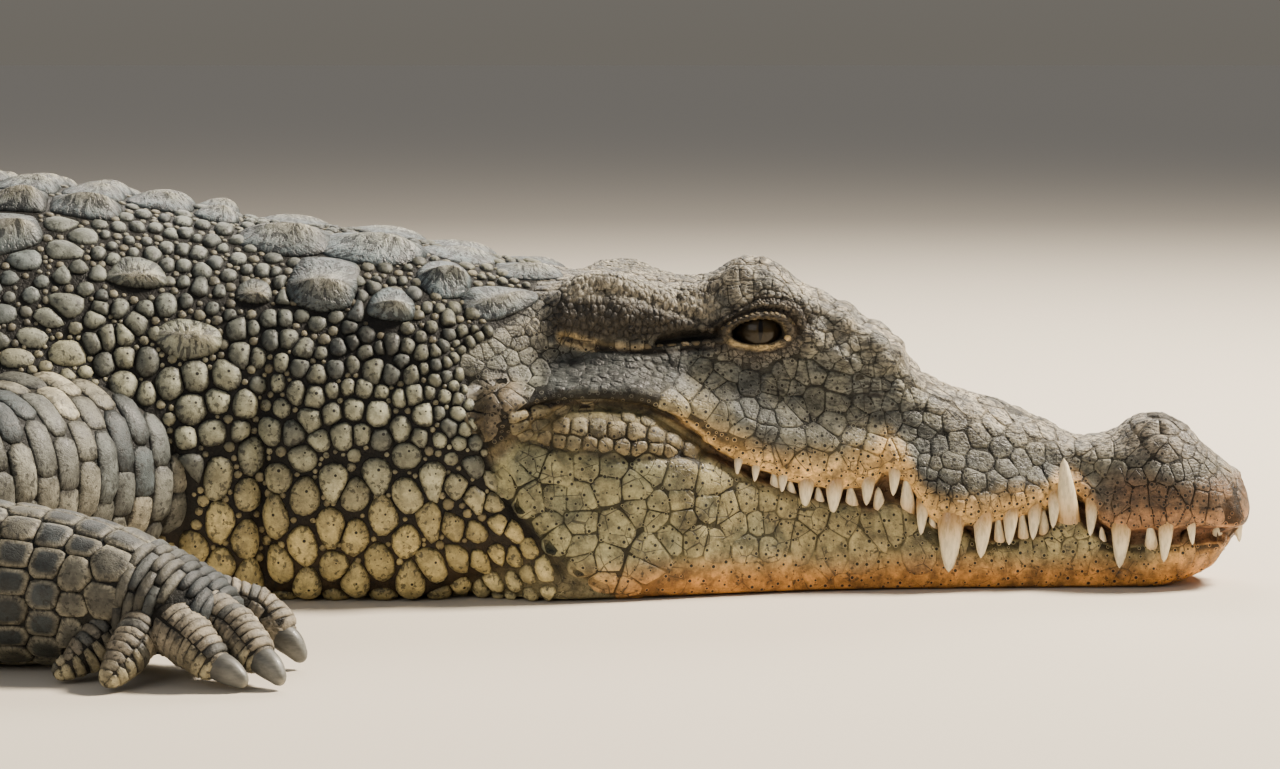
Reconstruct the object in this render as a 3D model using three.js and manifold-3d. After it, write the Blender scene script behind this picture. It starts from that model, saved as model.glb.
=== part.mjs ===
// A Nile crocodile at life size, lying on its belly with its chin on the floor, its neck turned a little
// to the right and its tail swung to the left. Millimetres, +Z up, +X towards the snout, +Y to its left.
// Every piece of the body is a loft or a tube through named curves, parted from its neighbours by a thin gap.
import * as THREE from "three";
import { mergeVertices } from "three/addons/utils/BufferGeometryUtils.js";
import Module from "manifold-3d";

const wasm = await Module();
wasm.setup();

// Driving dimensions.
const bodyLength = 3620;
const originStation = 1300; // distance behind the snout tip of the point over the origin
const gap = 0.4; // clearance left between neighbouring pieces
const floorReach = 5000; // half the side of the block that trims everything to the floor
const tipRound = 20; // length over which the snout tip rounds in, in plan
const lipDepth = 12; // how far the mouth slit goes in past the lip

// ---------------------------------------------------------------- curves

// A smooth curve through [station, value] knots that never overshoots them.
function curve(...knots) {
  const last = knots.length - 1;
  const rise = knots.slice(1).map((k, i) => (k[1] - knots[i][1]) / (k[0] - knots[i][0]));
  const slope = knots.map((k, i) => {
    if (i === 0 || i === last) return rise[i === 0 ? 0 : last - 1];
    if (rise[i - 1] * rise[i] <= 0) return 0;
    const before = k[0] - knots[i - 1][0];
    const after = knots[i + 1][0] - k[0];
    const [a, b] = [2 * after + before, after + 2 * before];
    return (a + b) / (a / rise[i - 1] + b / rise[i]);
  });
  return (station) => {
    const s = Math.min(Math.max(station, knots[0][0]), knots[last][0]);
    let i = 0;
    while (i < last - 1 && s > knots[i + 1][0]) i++;
    const span = knots[i + 1][0] - knots[i][0];
    const t = (s - knots[i][0]) / span;
    return (
      (1 + 2 * t) * (1 - t) ** 2 * knots[i][1] +
      t * (1 - t) ** 2 * span * slope[i] +
      t * t * (3 - 2 * t) * knots[i + 1][1] +
      t * t * (t - 1) * span * slope[i + 1]
    );
  };
}

function smooth(from, to, x) {
  const t = Math.min(Math.max((x - from) / (to - from), 0), 1);
  return t * t * (3 - 2 * t);
}

// Stations run back from the snout tip; heights are above the floor and widths are half widths.
const topHeight = curve(
  [0, 86], [15, 97], [34, 108], [55, 120], [69, 125], [85, 122], [106, 114], [127, 111], [160, 124],
  [190, 136], [221, 146], [250, 157], [268, 172], [285, 184], [310, 196], [350, 209], [390, 219],
  [430, 224], [480, 230], [520, 235], [560, 243], [600, 251], [670, 263], [770, 277], [820, 288], [900, 301],
  [1000, 310], [1200, 325], [1450, 328], [1620, 312], [1750, 290], [1870, 262], [2000, 236],
  [2300, 198], [2600, 164], [2900, 132], [3200, 100], [3450, 66], [3560, 42], [bodyLength, 12],
);
const ridgeWidth = curve(
  [0, 0], [20, 20], [45, 32], [68, 35], [100, 29], [125, 25], [160, 28], [200, 34], [250, 38], [290, 44],
  [340, 47], [375, 50], [410, 54], [450, 70], [500, 82], [530, 82], [570, 90],
);
const ridgeHeight = curve(
  [0, 78], [20, 94], [45, 110], [68, 117], [100, 107], [125, 103], [160, 114], [200, 128], [245, 150],
  [258, 163], [270, 181], [283, 191], [297, 197], [315, 207], [340, 220], [375, 242], [390, 243],
  [408, 235], [432, 226], [455, 231], [480, 239], [503, 238], [530, 226], [570, 216],
);
const sideWidth = curve(
  [0, 0], [20, 34], [45, 46], [68, 49], [100, 43], [130, 34], [180, 46], [225, 55], [280, 57], [330, 64],
  [375, 72], [420, 78], [470, 93], [520, 105], [570, 120],
);
const sideHeight = curve(
  [0, 66], [20, 80], [45, 90], [68, 94], [100, 90], [130, 86], [180, 97], [225, 107], [280, 125],
  [330, 152], [375, 166], [420, 174], [470, 178], [520, 175], [570, 168],
);
const cheekWidth = curve(
  [0, 0], [20, 41], [45, 52], [68, 55], [100, 50], [137, 40], [180, 57], [225, 68], [280, 67], [330, 78],
  [375, 91], [420, 105], [470, 122], [520, 138], [560, 150], [600, 156],
);
const cheekHeight = curve(
  [0, 54], [20, 62], [45, 68], [68, 70], [100, 70], [137, 80], [180, 76], [225, 74], [270, 98], [330, 104],
  [375, 117], [420, 135], [470, 152], [520, 155], [570, 150],
);
const lipWidth = curve(
  [0, 0], [20, 38], [45, 48], [68, 52], [100, 48.5], [137, 40], [180, 53], [225, 65], [265, 64], [330, 74],
  [375, 86], [420, 100], [470, 118], [520, 135], [560, 149.5], [600, 156],
);
const lipHeight = curve(
  [0, 47], [56, 48], [85, 47.5], [101, 46], [112, 51], [124, 63], [137, 73], [149, 68], [156, 60],
  [188, 54], [217, 50], [232, 50], [247, 60], [262, 83], [277, 91], [284, 83], [295, 78], [318, 77],
  [340, 81], [363, 89], [385, 98], [403, 107], [421, 120], [440, 133], [457, 141], [486, 145],
  [515, 145], [560, 140], [600, 130],
);
const mouthGap = curve(
  [0, 12], [50, 14], [100, 14], [137, 20], [168, 18], [200, 16], [220, 6], [243, 6], [262, 20], [280, 25],
  [300, 12], [330, 9], [360, 8], [390, 5], [420, 3], [600, 4],
);
const gumWidth = curve(
  [0, 0], [20, 33], [45, 42], [70, 45], [100, 44], [130, 45], [180, 52], [220, 60], [280, 65], [330, 73],
  [375, 86], [420, 101], [470, 119], [520, 136], [560, 149], [600, 155],
);
const jawWidth = curve(
  [0, 0], [20, 32], [45, 43], [70, 48], [100, 48], [130, 50], [180, 57], [220, 65], [280, 73], [330, 83],
  [375, 100], [420, 119], [470, 137], [520, 150], [570, 158],
);
const jawHeight = curve([0, 26], [50, 24], [100, 24], [200, 26], [300, 34], [400, 50], [500, 70], [570, 80]);
const chinWidth = curve(
  [0, 0], [20, 22], [45, 37], [70, 44], [100, 46], [200, 58], [280, 72], [330, 84], [375, 99], [420, 115],
  [470, 132], [520, 146], [570, 152],
);
const chinHeight = curve([0, 12], [30, 5], [80, 2], [200, 1], [570, 2]);
const underHeight = curve([0, 14], [20, 6], [45, 1], [70, 0], [600, 0]);
const browDip = curve([0, 0], [330, 0], [380, 8], [450, 6], [520, 0], [600, 0]);

const bodyWidth = curve(
  [500, 148], [600, 160], [700, 166], [780, 171], [850, 181], [920, 197], [1000, 220], [1150, 258],
  [1300, 275], [1450, 272], [1600, 238], [1720, 196], [1850, 158], [2000, 128], [2300, 92], [2600, 64],
  [2900, 43], [3200, 28], [3450, 16], [3560, 10], [bodyLength, 4],
);
const widestShare = curve(
  [500, 0.36], [1300, 0.36], [1800, 0.42], [2200, 0.46], [3000, 0.48], [bodyLength, 0.5],
);
const sunkShare = curve(
  [500, 0.26], [780, 0.24], [1300, 0.16], [1800, 0.1], [2200, 0.05], [3000, 0.03], [bodyLength, 0.02],
);
const sideBow = curve([500, 0.8], [1300, 0.86], [1900, 0.95], [2400, 1.05], [bodyLength, 1.1]);

// How far the snout's front is drawn back along each line of the section, from the brow line to the chin.
const frontDrawn = [10, 8, 6, 2, 0, 2, 10, 13, 18, 30, 42, 45];
const frontFade = curve([0, 1], [30, 0.62], [80, 0.2], [140, 0], [200, 0]);
// Where each line of the section lies round the body, in degrees from the top.
const lineAngles = [0, 22, 44, 62, 78, 90, 95, 100, 118, 140, 160, 180];
const [neckFrom, neckTo] = [500, 620]; // where the head's own lines turn into the body's
const lipLine = 5;
const slitLine = 6;

// The heading of the spine in degrees, positive to the left.
const heading = curve(
  [0, -5], [540, -5], [760, 0], [1750, 0], [2200, -14], [2700, -30], [3200, -34], [bodyLength, -18],
);
const spineStep = 5;
const spine = [];
for (let s = 0, x = 0, y = 0; s <= bodyLength; s += spineStep) {
  const angle = THREE.MathUtils.degToRad(heading(s));
  spine.push({ x, y, angle });
  x -= Math.cos(angle) * spineStep;
  y -= Math.sin(angle) * spineStep;
}
const spineOrigin = { ...spine[originStation / spineStep] };

// The point that lies `aside` of the spine (positive to the left) and at a height, at a station.
function placed(station, aside, height) {
  const at = Math.min(Math.max(station / spineStep, 0), spine.length - 1.001);
  const i = Math.floor(at);
  const t = at - i;
  const [a, b] = [spine[i], spine[i + 1]];
  const angle = a.angle + (b.angle - a.angle) * t;
  const before = Math.min(station, 0);
  return new THREE.Vector3(
    a.x + (b.x - a.x) * t - spineOrigin.x - before * Math.cos(angle) - Math.sin(angle) * aside,
    a.y + (b.y - a.y) * t - spineOrigin.y - before * Math.sin(angle) + Math.cos(angle) * aside,
    height,
  );
}

// ---------------------------------------------------------------- the section of head and body

// One side of the head's section as [drawn back, half width, height] for each line.
function headLines(s) {
  const [top, ridge] = [topHeight(s), ridgeHeight(s)];
  const inset = Math.min(lipDepth, 0.3 * lipWidth(s));
  const fade = frontFade(s);
  const half = [
    [0, top - browDip(s)],
    [ridgeWidth(s) * 0.55, top * 0.55 + ridge * 0.45 + Math.max(top - ridge, 0) * 0.25],
    [ridgeWidth(s), ridge],
    [sideWidth(s), sideHeight(s)],
    [cheekWidth(s), cheekHeight(s)],
    [lipWidth(s), lipHeight(s)],
    [lipWidth(s) - inset, lipHeight(s) - mouthGap(s) / 2],
    [gumWidth(s), lipHeight(s) - mouthGap(s)],
    [jawWidth(s), jawHeight(s)],
    [chinWidth(s), chinHeight(s)],
    [chinWidth(s) / 2, underHeight(s)],
    [0, underHeight(s)],
  ];
  return half.map(([width, height], i) => [frontDrawn[i] * fade, width, height]);
}

function bodyLines(s) {
  const [width, height] = [bodyWidth(s), topHeight(s)];
  const widest = widestShare(s) * height;
  const sunk = sunkShare(s) * height;
  return lineAngles.map((degrees) => {
    const angle = THREE.MathUtils.degToRad(degrees);
    const [sine, cosine] = [Math.max(Math.sin(angle), 0), Math.cos(angle)];
    const out = width * sine ** (degrees < 90 ? sideBow(s) : 0.7);
    const up =
      degrees <= 90
        ? widest + (height - widest) * Math.max(cosine, 0)
        : Math.max(widest - (widest + sunk) * (-cosine) ** 0.75, 0);
    return [0, out, up];
  });
}

function sectionLines(s) {
  const share = smooth(neckFrom, neckTo, s);
  const rounded = Math.sqrt(1 - (1 - Math.min(s / tipRound, 1)) ** 2);
  const head = headLines(Math.max(s, tipRound)).map((line, i) => {
    const own = headLines(s)[i];
    return s < tipRound ? [own[0], line[1] * rounded, own[2]] : own;
  });
  const body = bodyLines(s);
  return head.map((line, i) => line.map((value, j) => value * (1 - share) + body[i][j] * share));
}

// A closed ring of points at a station, from one side's lines, widened by `grown`.
function ringOf(station, lines, grown = 0) {
  const middle = lines.reduce((sum, line) => sum + line[2], 0) / lines.length;
  const place = ([back, width, height], side) => {
    const up = height + grown * Math.sign(height - middle);
    return placed(station + back, side * (width + (width > 0 ? grown : 0)), up);
  };
  const left = lines.map((line) => place(line, 1));
  const right = lines.filter((line) => line[1] > 0.01).map((line) => place(line, -1));
  return [...left, ...right.reverse()];
}

// ---------------------------------------------------------------- solids

function solidOf(geometry) {
  const bare = geometry.index ? geometry.toNonIndexed() : geometry.clone();
  bare.deleteAttribute("normal");
  bare.deleteAttribute("uv");
  const merged = mergeVertices(bare, 1e-3);
  const made = new wasm.Manifold(
    new wasm.Mesh({
      numProp: 3,
      vertProperties: merged.attributes.position.array,
      triVerts: new Uint32Array(merged.index.array),
    }),
  );
  return made;
}

function geometryOf(solid) {
  const mesh = solid.getMesh();
  const positions = new Float32Array(mesh.numVert * 3);
  for (let i = 0; i < mesh.numVert; i++)
    positions.set(mesh.vertProperties.subarray(i * mesh.numProp, i * mesh.numProp + 3), i * 3);
  const geometry = new THREE.BufferGeometry();
  geometry.setAttribute("position", new THREE.BufferAttribute(positions, 3));
  geometry.setIndex(new THREE.BufferAttribute(mesh.triVerts, 1));
  geometry.computeVertexNormals();
  return geometry;
}

// A closed solid over points, whichever way round its faces were given.
function closed(points, faces) {
  const geometry = new THREE.BufferGeometry().setFromPoints(points);
  geometry.setIndex(faces);
  const solid = solidOf(geometry);
  if (solid.volume() > 0) return solid;
  geometry.setIndex(faces.reverse());
  return solidOf(geometry);
}

// A closed skin over rings of equally many points, each end fanned from its middle.
function loft(rings) {
  const count = rings[0].length;
  const middleOf = (ring) => ring.reduce((sum, p) => sum.add(p), new THREE.Vector3()).divideScalar(count);
  const points = [...rings.flat(), middleOf(rings[0]), middleOf(rings.at(-1))];
  const firstMiddle = rings.length * count;
  const lastRing = (rings.length - 1) * count;
  const faces = [];
  for (let i = 0; i < count; i++) {
    const next = (i + 1) % count;
    for (let r = 0; r < rings.length - 1; r++) {
      const [a, b] = [r * count + i, r * count + next];
      faces.push(a, a + count, b, b, a + count, b + count);
    }
    faces.push(firstMiddle, i, next, firstMiddle + 1, lastRing + next, lastRing + i);
  }
  return closed(points, faces);
}

// A round-ended tube: stops are [x, y, z, half width, half height], joined by a smooth path.
function tube(stops, sides, steps, grown = 0) {
  const centres = stops.map(([x, y, z]) => new THREE.Vector3(x, y, z));
  const path = new THREE.CatmullRomCurve3(centres, false, "centripetal");
  const spans = stops.length - 1;
  const rings = [];
  const addRing = (t, shrink, shift) => {
    const at = t * spans;
    const i = Math.min(Math.floor(at), spans - 1);
    const mix = smooth(0, 1, at - i);
    const size = [3, 4].map((k) => stops[i][k] + (stops[i + 1][k] - stops[i][k]) * mix + grown);
    const forward = path.getTangent(t);
    const across = new THREE.Vector3(0, 0, 1).cross(forward).normalize();
    const up = forward.clone().cross(across);
    const centre = path.getPoint(t).addScaledVector(forward, shift * size[1]);
    rings.push(
      Array.from({ length: sides }, (_, k) => {
        const angle = ((k + 0.5) / sides) * 2 * Math.PI;
        return centre
          .clone()
          .addScaledVector(across, Math.cos(angle) * size[0] * shrink)
          .addScaledVector(up, Math.sin(angle) * size[1] * shrink);
      }),
    );
  };
  addRing(0, 0.55, -0.8);
  for (let i = 0; i <= spans * steps; i++) addRing(i / (spans * steps), 1, 0);
  addRing(1, 0.55, 0.8);
  return loft(rings);
}

function ball(centre, radii, across = 8, down = 5) {
  const geometry = new THREE.SphereGeometry(1, across, down);
  geometry.scale(...radii);
  geometry.translate(...centre);
  return solidOf(geometry);
}

const floorBlock = solidOf(
  new THREE.BoxGeometry(2 * floorReach, 2 * floorReach, floorReach).translate(0, 0, floorReach / 2),
);
const onFloor = (solid) => solid.intersect(floorBlock);
const joined = (solids) => solids.reduce((whole, solid) => whole.add(solid));
const without = (solid, others) => others.reduce((rest, other) => rest.subtract(other), solid);

// Only the largest body of a cut is kept, so that no sliver stays as a loose piece.
function mainBody(solid) {
  return solid.decompose().reduce((best, body) => (body.volume() > best.volume() ? body : best));
}

// ---------------------------------------------------------------- the body from snout to tail

const headStations = [
  0.4, 8, 24, 42, 60, 78, 96, 112, 124, 137, 152, 175, 203, 232, 250, 277, 292, 325, 360, 395, 430, 470,
  515, 560,
];
const neckStations = [560.4, 595, 630, 675, 725, 780, 830, 880];
const trunkStations = [880.4, 930, 990, 1060, 1150, 1290, 1430, 1530, 1620, 1700, 1780];
const tailNodes = {
  tail_base: [1780.4, 1890, 2000, 2120, 2240, 2360],
  tail_middle: [2360.4, 2480, 2610, 2740, 2870],
  tail_tip: [2870.4, 3000, 3140, 3280, 3420, 3530, 3600, bodyLength],
};

function upperHeadRing(s) {
  const lines = sectionLines(s);
  const [back, width, height] = lines[slitLine];
  const floor = height + gap / 2;
  return ringOf(s, [...lines.slice(0, slitLine), [back, width, floor], [back, 0, floor]]);
}

function lowerJawRing(s) {
  const lines = sectionLines(s);
  const [back, width, height] = lines[slitLine];
  const roof = height - gap / 2;
  return ringOf(s, [[back, 0, roof], [back, width, roof], ...lines.slice(slitLine + 1)]);
}

const bodyLoft = (stations, grown = 0) => loft(stations.map((s) => ringOf(s, sectionLines(s), grown)));
// The lines that shape the mouth are left out of the sections behind the neck.
const plainLines = (s) => sectionLines(s).filter((_, i) => i !== slitLine && i !== slitLine + 1);
const plainLoft = (stations, grown = 0) => loft(stations.map((s) => ringOf(s, plainLines(s), grown)));

// ---------------------------------------------------------------- teeth

// Station, length and radius of the larger teeth of one side.
const upperTeeth = [
  [66, 27, 6.5], [99, 30, 8.5], [149, 22, 6], [182, 21, 6.5], [203, 27, 8], [227, 36, 11],
  [289, 16, 6], [314, 19, 7.5], [335, 18, 7],
];
const lowerTeeth = [[25, 18, 6], [138, 46, 9.5], [172, 21, 5], [259, 24, 7]];
const toothRoot = 9; // how far a tooth's cone goes into the jaw
const toothSides = 4;

// Up is 1 for a lower tooth and -1 for an upper one. An upper tooth hangs outside the lower jaw.
function tooth([station, length, radius], side, up, grown = 0) {
  const line = sectionLines(station)[up > 0 ? slitLine + 1 : lipLine];
  const lean = up > 0 ? 0.06 : 0.3;
  const outward = up > 0 ? -0.5 * radius : -0.45 * radius;
  const base = placed(station + line[0], side * Math.max(line[1] + outward, 2), line[2] - up * toothRoot);
  const tip = placed(
    station + line[0] + lean * radius,
    side * Math.max(line[1] + outward + (up > 0 ? 0 : 0.1 * length), 2),
    line[2] + up * length,
  );
  const axis = tip.clone().sub(base);
  const cone = new THREE.ConeGeometry((radius + grown) * 1.15, axis.length() + 2 * grown, toothSides);
  const upright = new THREE.Vector3(0, 1, 0);
  cone.applyQuaternion(new THREE.Quaternion().setFromUnitVectors(upright, axis.clone().normalize()));
  cone.translate(...base.add(tip).multiplyScalar(0.5));
  return solidOf(cone);
}

const bothSides = [1, -1];
const rowOfTeeth = (teeth, up, grown) =>
  joined(bothSides.flatMap((side) => teeth.map((each) => tooth(each, side, up, grown))));

// ---------------------------------------------------------------- head pieces

const eyeball = { station: 374, aside: 50, height: 193, radius: 20 };
const earFlap = { station: 462, aside: 92, height: 203, radii: [46, 14, 17] };
const eyeSocket = (side, grown) => {
  const { station, aside, height, radius } = eyeball;
  const centre = placed(station, side * aside, height);
  return ball(centre.toArray(), [radius + grown, radius + grown, radius + grown]);
};
const earRegion = (side, grown) => {
  const { station, aside, height, radii } = earFlap;
  const centre = placed(station, side * aside, height);
  return ball(centre.toArray(), radii.map((r) => r + grown));
};

const upperRow = rowOfTeeth(upperTeeth, -1, 0);
const lowerRow = rowOfTeeth(lowerTeeth, 1, 0);
const skull = loft(headStations.map(upperHeadRing));
const mandible = onFloor(loft(headStations.map(lowerJawRing)));

const eyes = bothSides.map((side) => eyeSocket(side, 0));
const head = without(skull.add(upperRow), [
  rowOfTeeth(lowerTeeth, 1, gap),
  ...bothSides.map((side) => eyeSocket(side, gap)),
  ...bothSides.map((side) => earRegion(side, gap)),
]);
const ears = bothSides.map((side) => without(skull, [eyeSocket(side, gap)]).intersect(earRegion(side, 0)));
const lowerJaw = without(mandible.add(lowerRow), [rowOfTeeth(upperTeeth, -1, gap)]);

// ---------------------------------------------------------------- tail crest

// Upright scutes along the tail: two rows that close into one.
const crest = { from: 2045, to: 3420, joinAt: 2680, pitch: 56, thickness: 7 };
const crestHeight = curve([1830, 14], [2100, 26], [2500, 40], [2800, 52], [3200, 44], [3560, 16]);
const crestAside = curve([1830, 62], [2200, 44], [2500, 20], [2700, 0], [bodyLength, 0]);

function crestScute(station, side) {
  const rise = crestHeight(station);
  const aside = side * crestAside(station);
  const base = topHeight(station) - 8 - Math.abs(aside) * 0.3;
  const half = crest.pitch * 0.46;
  const corner = (along, across, up) => placed(station + along, aside + across, base + up);
  const thick = crest.thickness / 2;
  const foot = [[-half, -thick], [half, -thick], [half, thick], [-half, thick]];
  const points = [
    ...foot.map(([along, across]) => corner(along, across, -10)),
    corner(half * 0.15, 0, 8 + rise),
    corner(half * 0.95, 0, 8 + rise * 0.85),
  ];
  const faces = [0, 1, 2, 0, 2, 3, 0, 3, 4, 1, 5, 2, 0, 4, 5, 0, 5, 1, 3, 2, 5, 3, 5, 4];
  return closed(points, faces);
}

function crestBetween(from, to) {
  const scutes = [];
  for (let s = crest.from; s <= crest.to; s += crest.pitch) {
    if (s - crest.pitch / 2 < from || s + crest.pitch / 2 > to) continue;
    const sides = s < crest.joinAt ? bothSides : [1];
    scutes.push(...sides.map((side) => crestScute(s, side)));
  }
  return scutes;
}

// ---------------------------------------------------------------- legs

// Stops are [x, y, z, half width, half height] for the right side; the left is mirrored and shifted.
const foreLeg = {
  upper: [[440, -140, 92, 70, 66], [362, -250, 100, 64, 68], [262, -342, 78, 52, 62]],
  lower: [[250, -352, 70, 54, 62], [352, -392, 60, 54, 58], [458, -402, 52, 48, 51]],
  palm: [[455, -403, 51, 46, 49], [505, -415, 50, 43, 38], [546, -428, 40, 38, 24]],
  digits: [
    [[545, -404, 40, 17, 16], [582, -400, 34, 15, 15], [596, -406, 21, 13, 14]],
    [[545, -430, 40, 17, 16], [575, -455, 31, 15, 15], [589, -470, 17, 13, 14]],
    [[525, -445, 36, 17, 16], [552, -472, 23, 15, 15], [562, -479, 14, 13, 13]],
    [[511, -450, 32, 14, 14], [497, -488, 10, 9, 9]],
    [[487, -440, 28, 13, 13], [461, -459, 9, 8, 8]],
  ],
  claws: [
    [[592, -405, 24, 9, 9.5], [603, -410, 16, 7, 8], [611, -413, 6, 3, 4]],
    [[586, -467, 20, 9, 9.5], [597, -476, 13, 7, 8], [605, -483, 5, 3, 4]],
    [[560, -477, 17, 9, 9.5], [572, -482, 11, 7, 8], [582, -487, 5, 3, 4]],
  ],
};
const hindLeg = {
  upper: [[-360, -120, 138, 98, 100], [-290, -235, 122, 84, 88], [-215, -325, 92, 58, 66]],
  lower: [[-222, -335, 82, 56, 60], [-340, -385, 74, 48, 52], [-462, -402, 48, 36, 38]],
  palm: [[-468, -408, 30, 36, 30], [-405, -448, 26, 38, 25], [-345, -486, 20, 42, 19]],
  digits: [
    [[-352, -458, 18, 15, 14], [-290, -450, 18, 13, 13], [-246, -442, 11, 10, 10]],
    [[-348, -478, 19, 15, 14], [-276, -492, 19, 13, 13], [-222, -498, 11, 10, 10]],
    [[-350, -496, 18, 15, 14], [-284, -526, 18, 13, 13], [-232, -546, 11, 10, 10]],
    [[-358, -514, 16, 14, 12], [-280, -577, 8, 8, 8]],
  ],
  claws: [
    [[-252, -443, 12, 6.5, 7], [-236, -440, 9, 5, 6], [-225, -438, 4, 2, 3]],
    [[-228, -497, 12, 6.5, 7], [-212, -499, 9, 5, 6], [-200, -500, 4, 2, 3]],
    [[-238, -544, 12, 6.5, 7], [-224, -550, 9, 5, 6], [-213, -554, 4, 2, 3]],
  ],
};
// The web of skin between the toes of a hind foot: a thin fan from the palm, as shares of the first bone.
const webReach = [1.1, 1.2, 1.1, 0.5];
const webHeights = [2, 8];

function stopsOn(side, stops, shift) {
  return stops.map(([x, y, z, wide, high]) => [x + shift, side > 0 ? -y : y, z, wide, high]);
}

function webOf(side, digits, shift) {
  const stops = digits.map((each) => stopsOn(side, each, shift));
  const reached = stops.map(([from, to], i) => [0, 1].map((k) => from[k] + (to[k] - from[k]) * webReach[i]));
  const outline = [stops[0][0], ...reached, stops[3][0]];
  return loft(webHeights.map((z) => outline.map(([x, y]) => new THREE.Vector3(x, y, z))));
}

// The solids of one leg, each cut clear of the piece that it grows from.
function legSolids(leg, side, shift, trunkGrown, webbed) {
  const at = (stops) => stopsOn(side, stops, shift);
  const upper = mainBody(onFloor(tube(at(leg.upper), 8, 2)).subtract(trunkGrown));
  const upperGrown = tube(at(leg.upper), 8, 2, gap);
  const lower = mainBody(without(onFloor(tube(at(leg.lower), 8, 2)), [upperGrown, trunkGrown]));
  const lowerGrown = tube(at(leg.lower), 8, 2, gap);
  const claws = leg.claws.map((stops) => onFloor(tube(at(stops), 4, 1)));
  const clawsGrown = leg.claws.map((stops) => tube(at(stops), 4, 1, gap));
  const digits = leg.digits.map((stops) => tube(at(stops), 5, 1));
  const webs = webbed ? [webOf(side, leg.digits, shift)] : [];
  const whole = onFloor(joined([tube(at(leg.palm), 8, 1), ...digits, ...webs]));
  const foot = mainBody(without(whole, [lowerGrown, upperGrown, trunkGrown, ...clawsGrown]));
  return { upper, lower, foot, claws };
}

// ---------------------------------------------------------------- materials and the scene graph

const material = (color, roughness) => new THREE.MeshStandardMaterial({ color, roughness, metalness: 0 });
const hide = material("#77756a", 0.62);
const paleHide = material("#b9a878", 0.6);
const iris = material("#3a2f14", 0.12);
const horn = material("#4e514f", 0.45);

const crocodile = new THREE.Group();
crocodile.name = "crocodile";
function addNode(name, solid, look) {
  const mesh = new THREE.Mesh(geometryOf(solid), look);
  mesh.name = name;
  crocodile.add(mesh);
}

const sideNames = ["left", "right"];
const neckStart = 1; // extra clearance where the neck meets the head
addNode("head", mainBody(head), hide);
addNode("lower_jaw", mainBody(lowerJaw), paleHide);
eyes.forEach((solid, i) => addNode(`eye_${sideNames[i]}`, solid, iris));
ears.forEach((solid, i) => addNode(`ear_${sideNames[i]}`, mainBody(solid), hide));
addNode("neck", onFloor(bodyLoft(neckStations.map((s, i) => (i ? s : s + neckStart)))), hide);
addNode("trunk", onFloor(plainLoft(trunkStations)), hide);
for (const [name, stations] of Object.entries(tailNodes)) {
  const scutes = crestBetween(stations[0], stations.at(-1));
  addNode(name, mainBody(onFloor(joined([plainLoft(stations), ...scutes]))), hide);
}

const flankStations = [...neckStations.slice(-4, -1), ...trunkStations, ...tailNodes.tail_base.slice(1, 3)];
const flankGrown = bodyLoft(flankStations, gap);
// Each pair of legs: its shape, whether it is webbed, and how far each side's is moved forward.
const legs = {
  fore: [foreLeg, false, { left: -24, right: 0 }],
  hind: [hindLeg, true, { left: 18, right: 0 }],
};
const pieceNames = { fore: ["upper_arm", "forearm", "forefoot"], hind: ["thigh", "shank", "hindfoot"] };
for (const [end, [leg, webbed, shifts]] of Object.entries(legs)) {
  bothSides.forEach((side, i) => {
    const sideName = sideNames[i];
    const { upper, lower, foot, claws } = legSolids(leg, side, shifts[sideName], flankGrown, webbed);
    [upper, lower, foot].forEach((solid, k) => addNode(`${pieceNames[end][k]}_${sideName}`, solid, hide));
    claws.forEach((solid, k) => addNode(`claw_${end}_${sideName}_${k + 1}`, solid, horn));
  });
}

export default crocodile;
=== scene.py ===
import math
from copy import copy
from itertools import product
from operator import add
import bpy
import numpy as np
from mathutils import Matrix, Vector
from mathutils.bvhtree import BVHTree
from mathutils.kdtree import KDTree


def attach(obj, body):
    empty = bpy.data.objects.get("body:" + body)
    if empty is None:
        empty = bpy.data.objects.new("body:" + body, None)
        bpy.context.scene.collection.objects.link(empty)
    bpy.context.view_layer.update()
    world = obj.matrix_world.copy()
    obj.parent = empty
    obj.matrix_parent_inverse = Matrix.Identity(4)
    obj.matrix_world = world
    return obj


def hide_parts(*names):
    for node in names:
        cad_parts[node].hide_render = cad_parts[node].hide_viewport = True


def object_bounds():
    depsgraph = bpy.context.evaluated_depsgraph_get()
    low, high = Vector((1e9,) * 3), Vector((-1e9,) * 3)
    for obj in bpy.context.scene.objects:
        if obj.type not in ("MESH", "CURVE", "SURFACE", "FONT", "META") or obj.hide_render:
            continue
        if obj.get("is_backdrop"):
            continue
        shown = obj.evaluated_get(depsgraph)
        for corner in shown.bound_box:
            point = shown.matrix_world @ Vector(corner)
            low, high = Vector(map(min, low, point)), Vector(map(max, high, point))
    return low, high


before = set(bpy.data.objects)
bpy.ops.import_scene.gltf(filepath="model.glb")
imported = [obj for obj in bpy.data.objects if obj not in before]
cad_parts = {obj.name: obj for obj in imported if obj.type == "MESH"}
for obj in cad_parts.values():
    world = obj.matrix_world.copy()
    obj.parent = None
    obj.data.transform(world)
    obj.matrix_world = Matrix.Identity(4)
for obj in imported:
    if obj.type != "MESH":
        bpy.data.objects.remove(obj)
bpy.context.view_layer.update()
print("frame loaded")

mm = 0.001
rng = np.random.default_rng(11)

# ---- small maths


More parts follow.
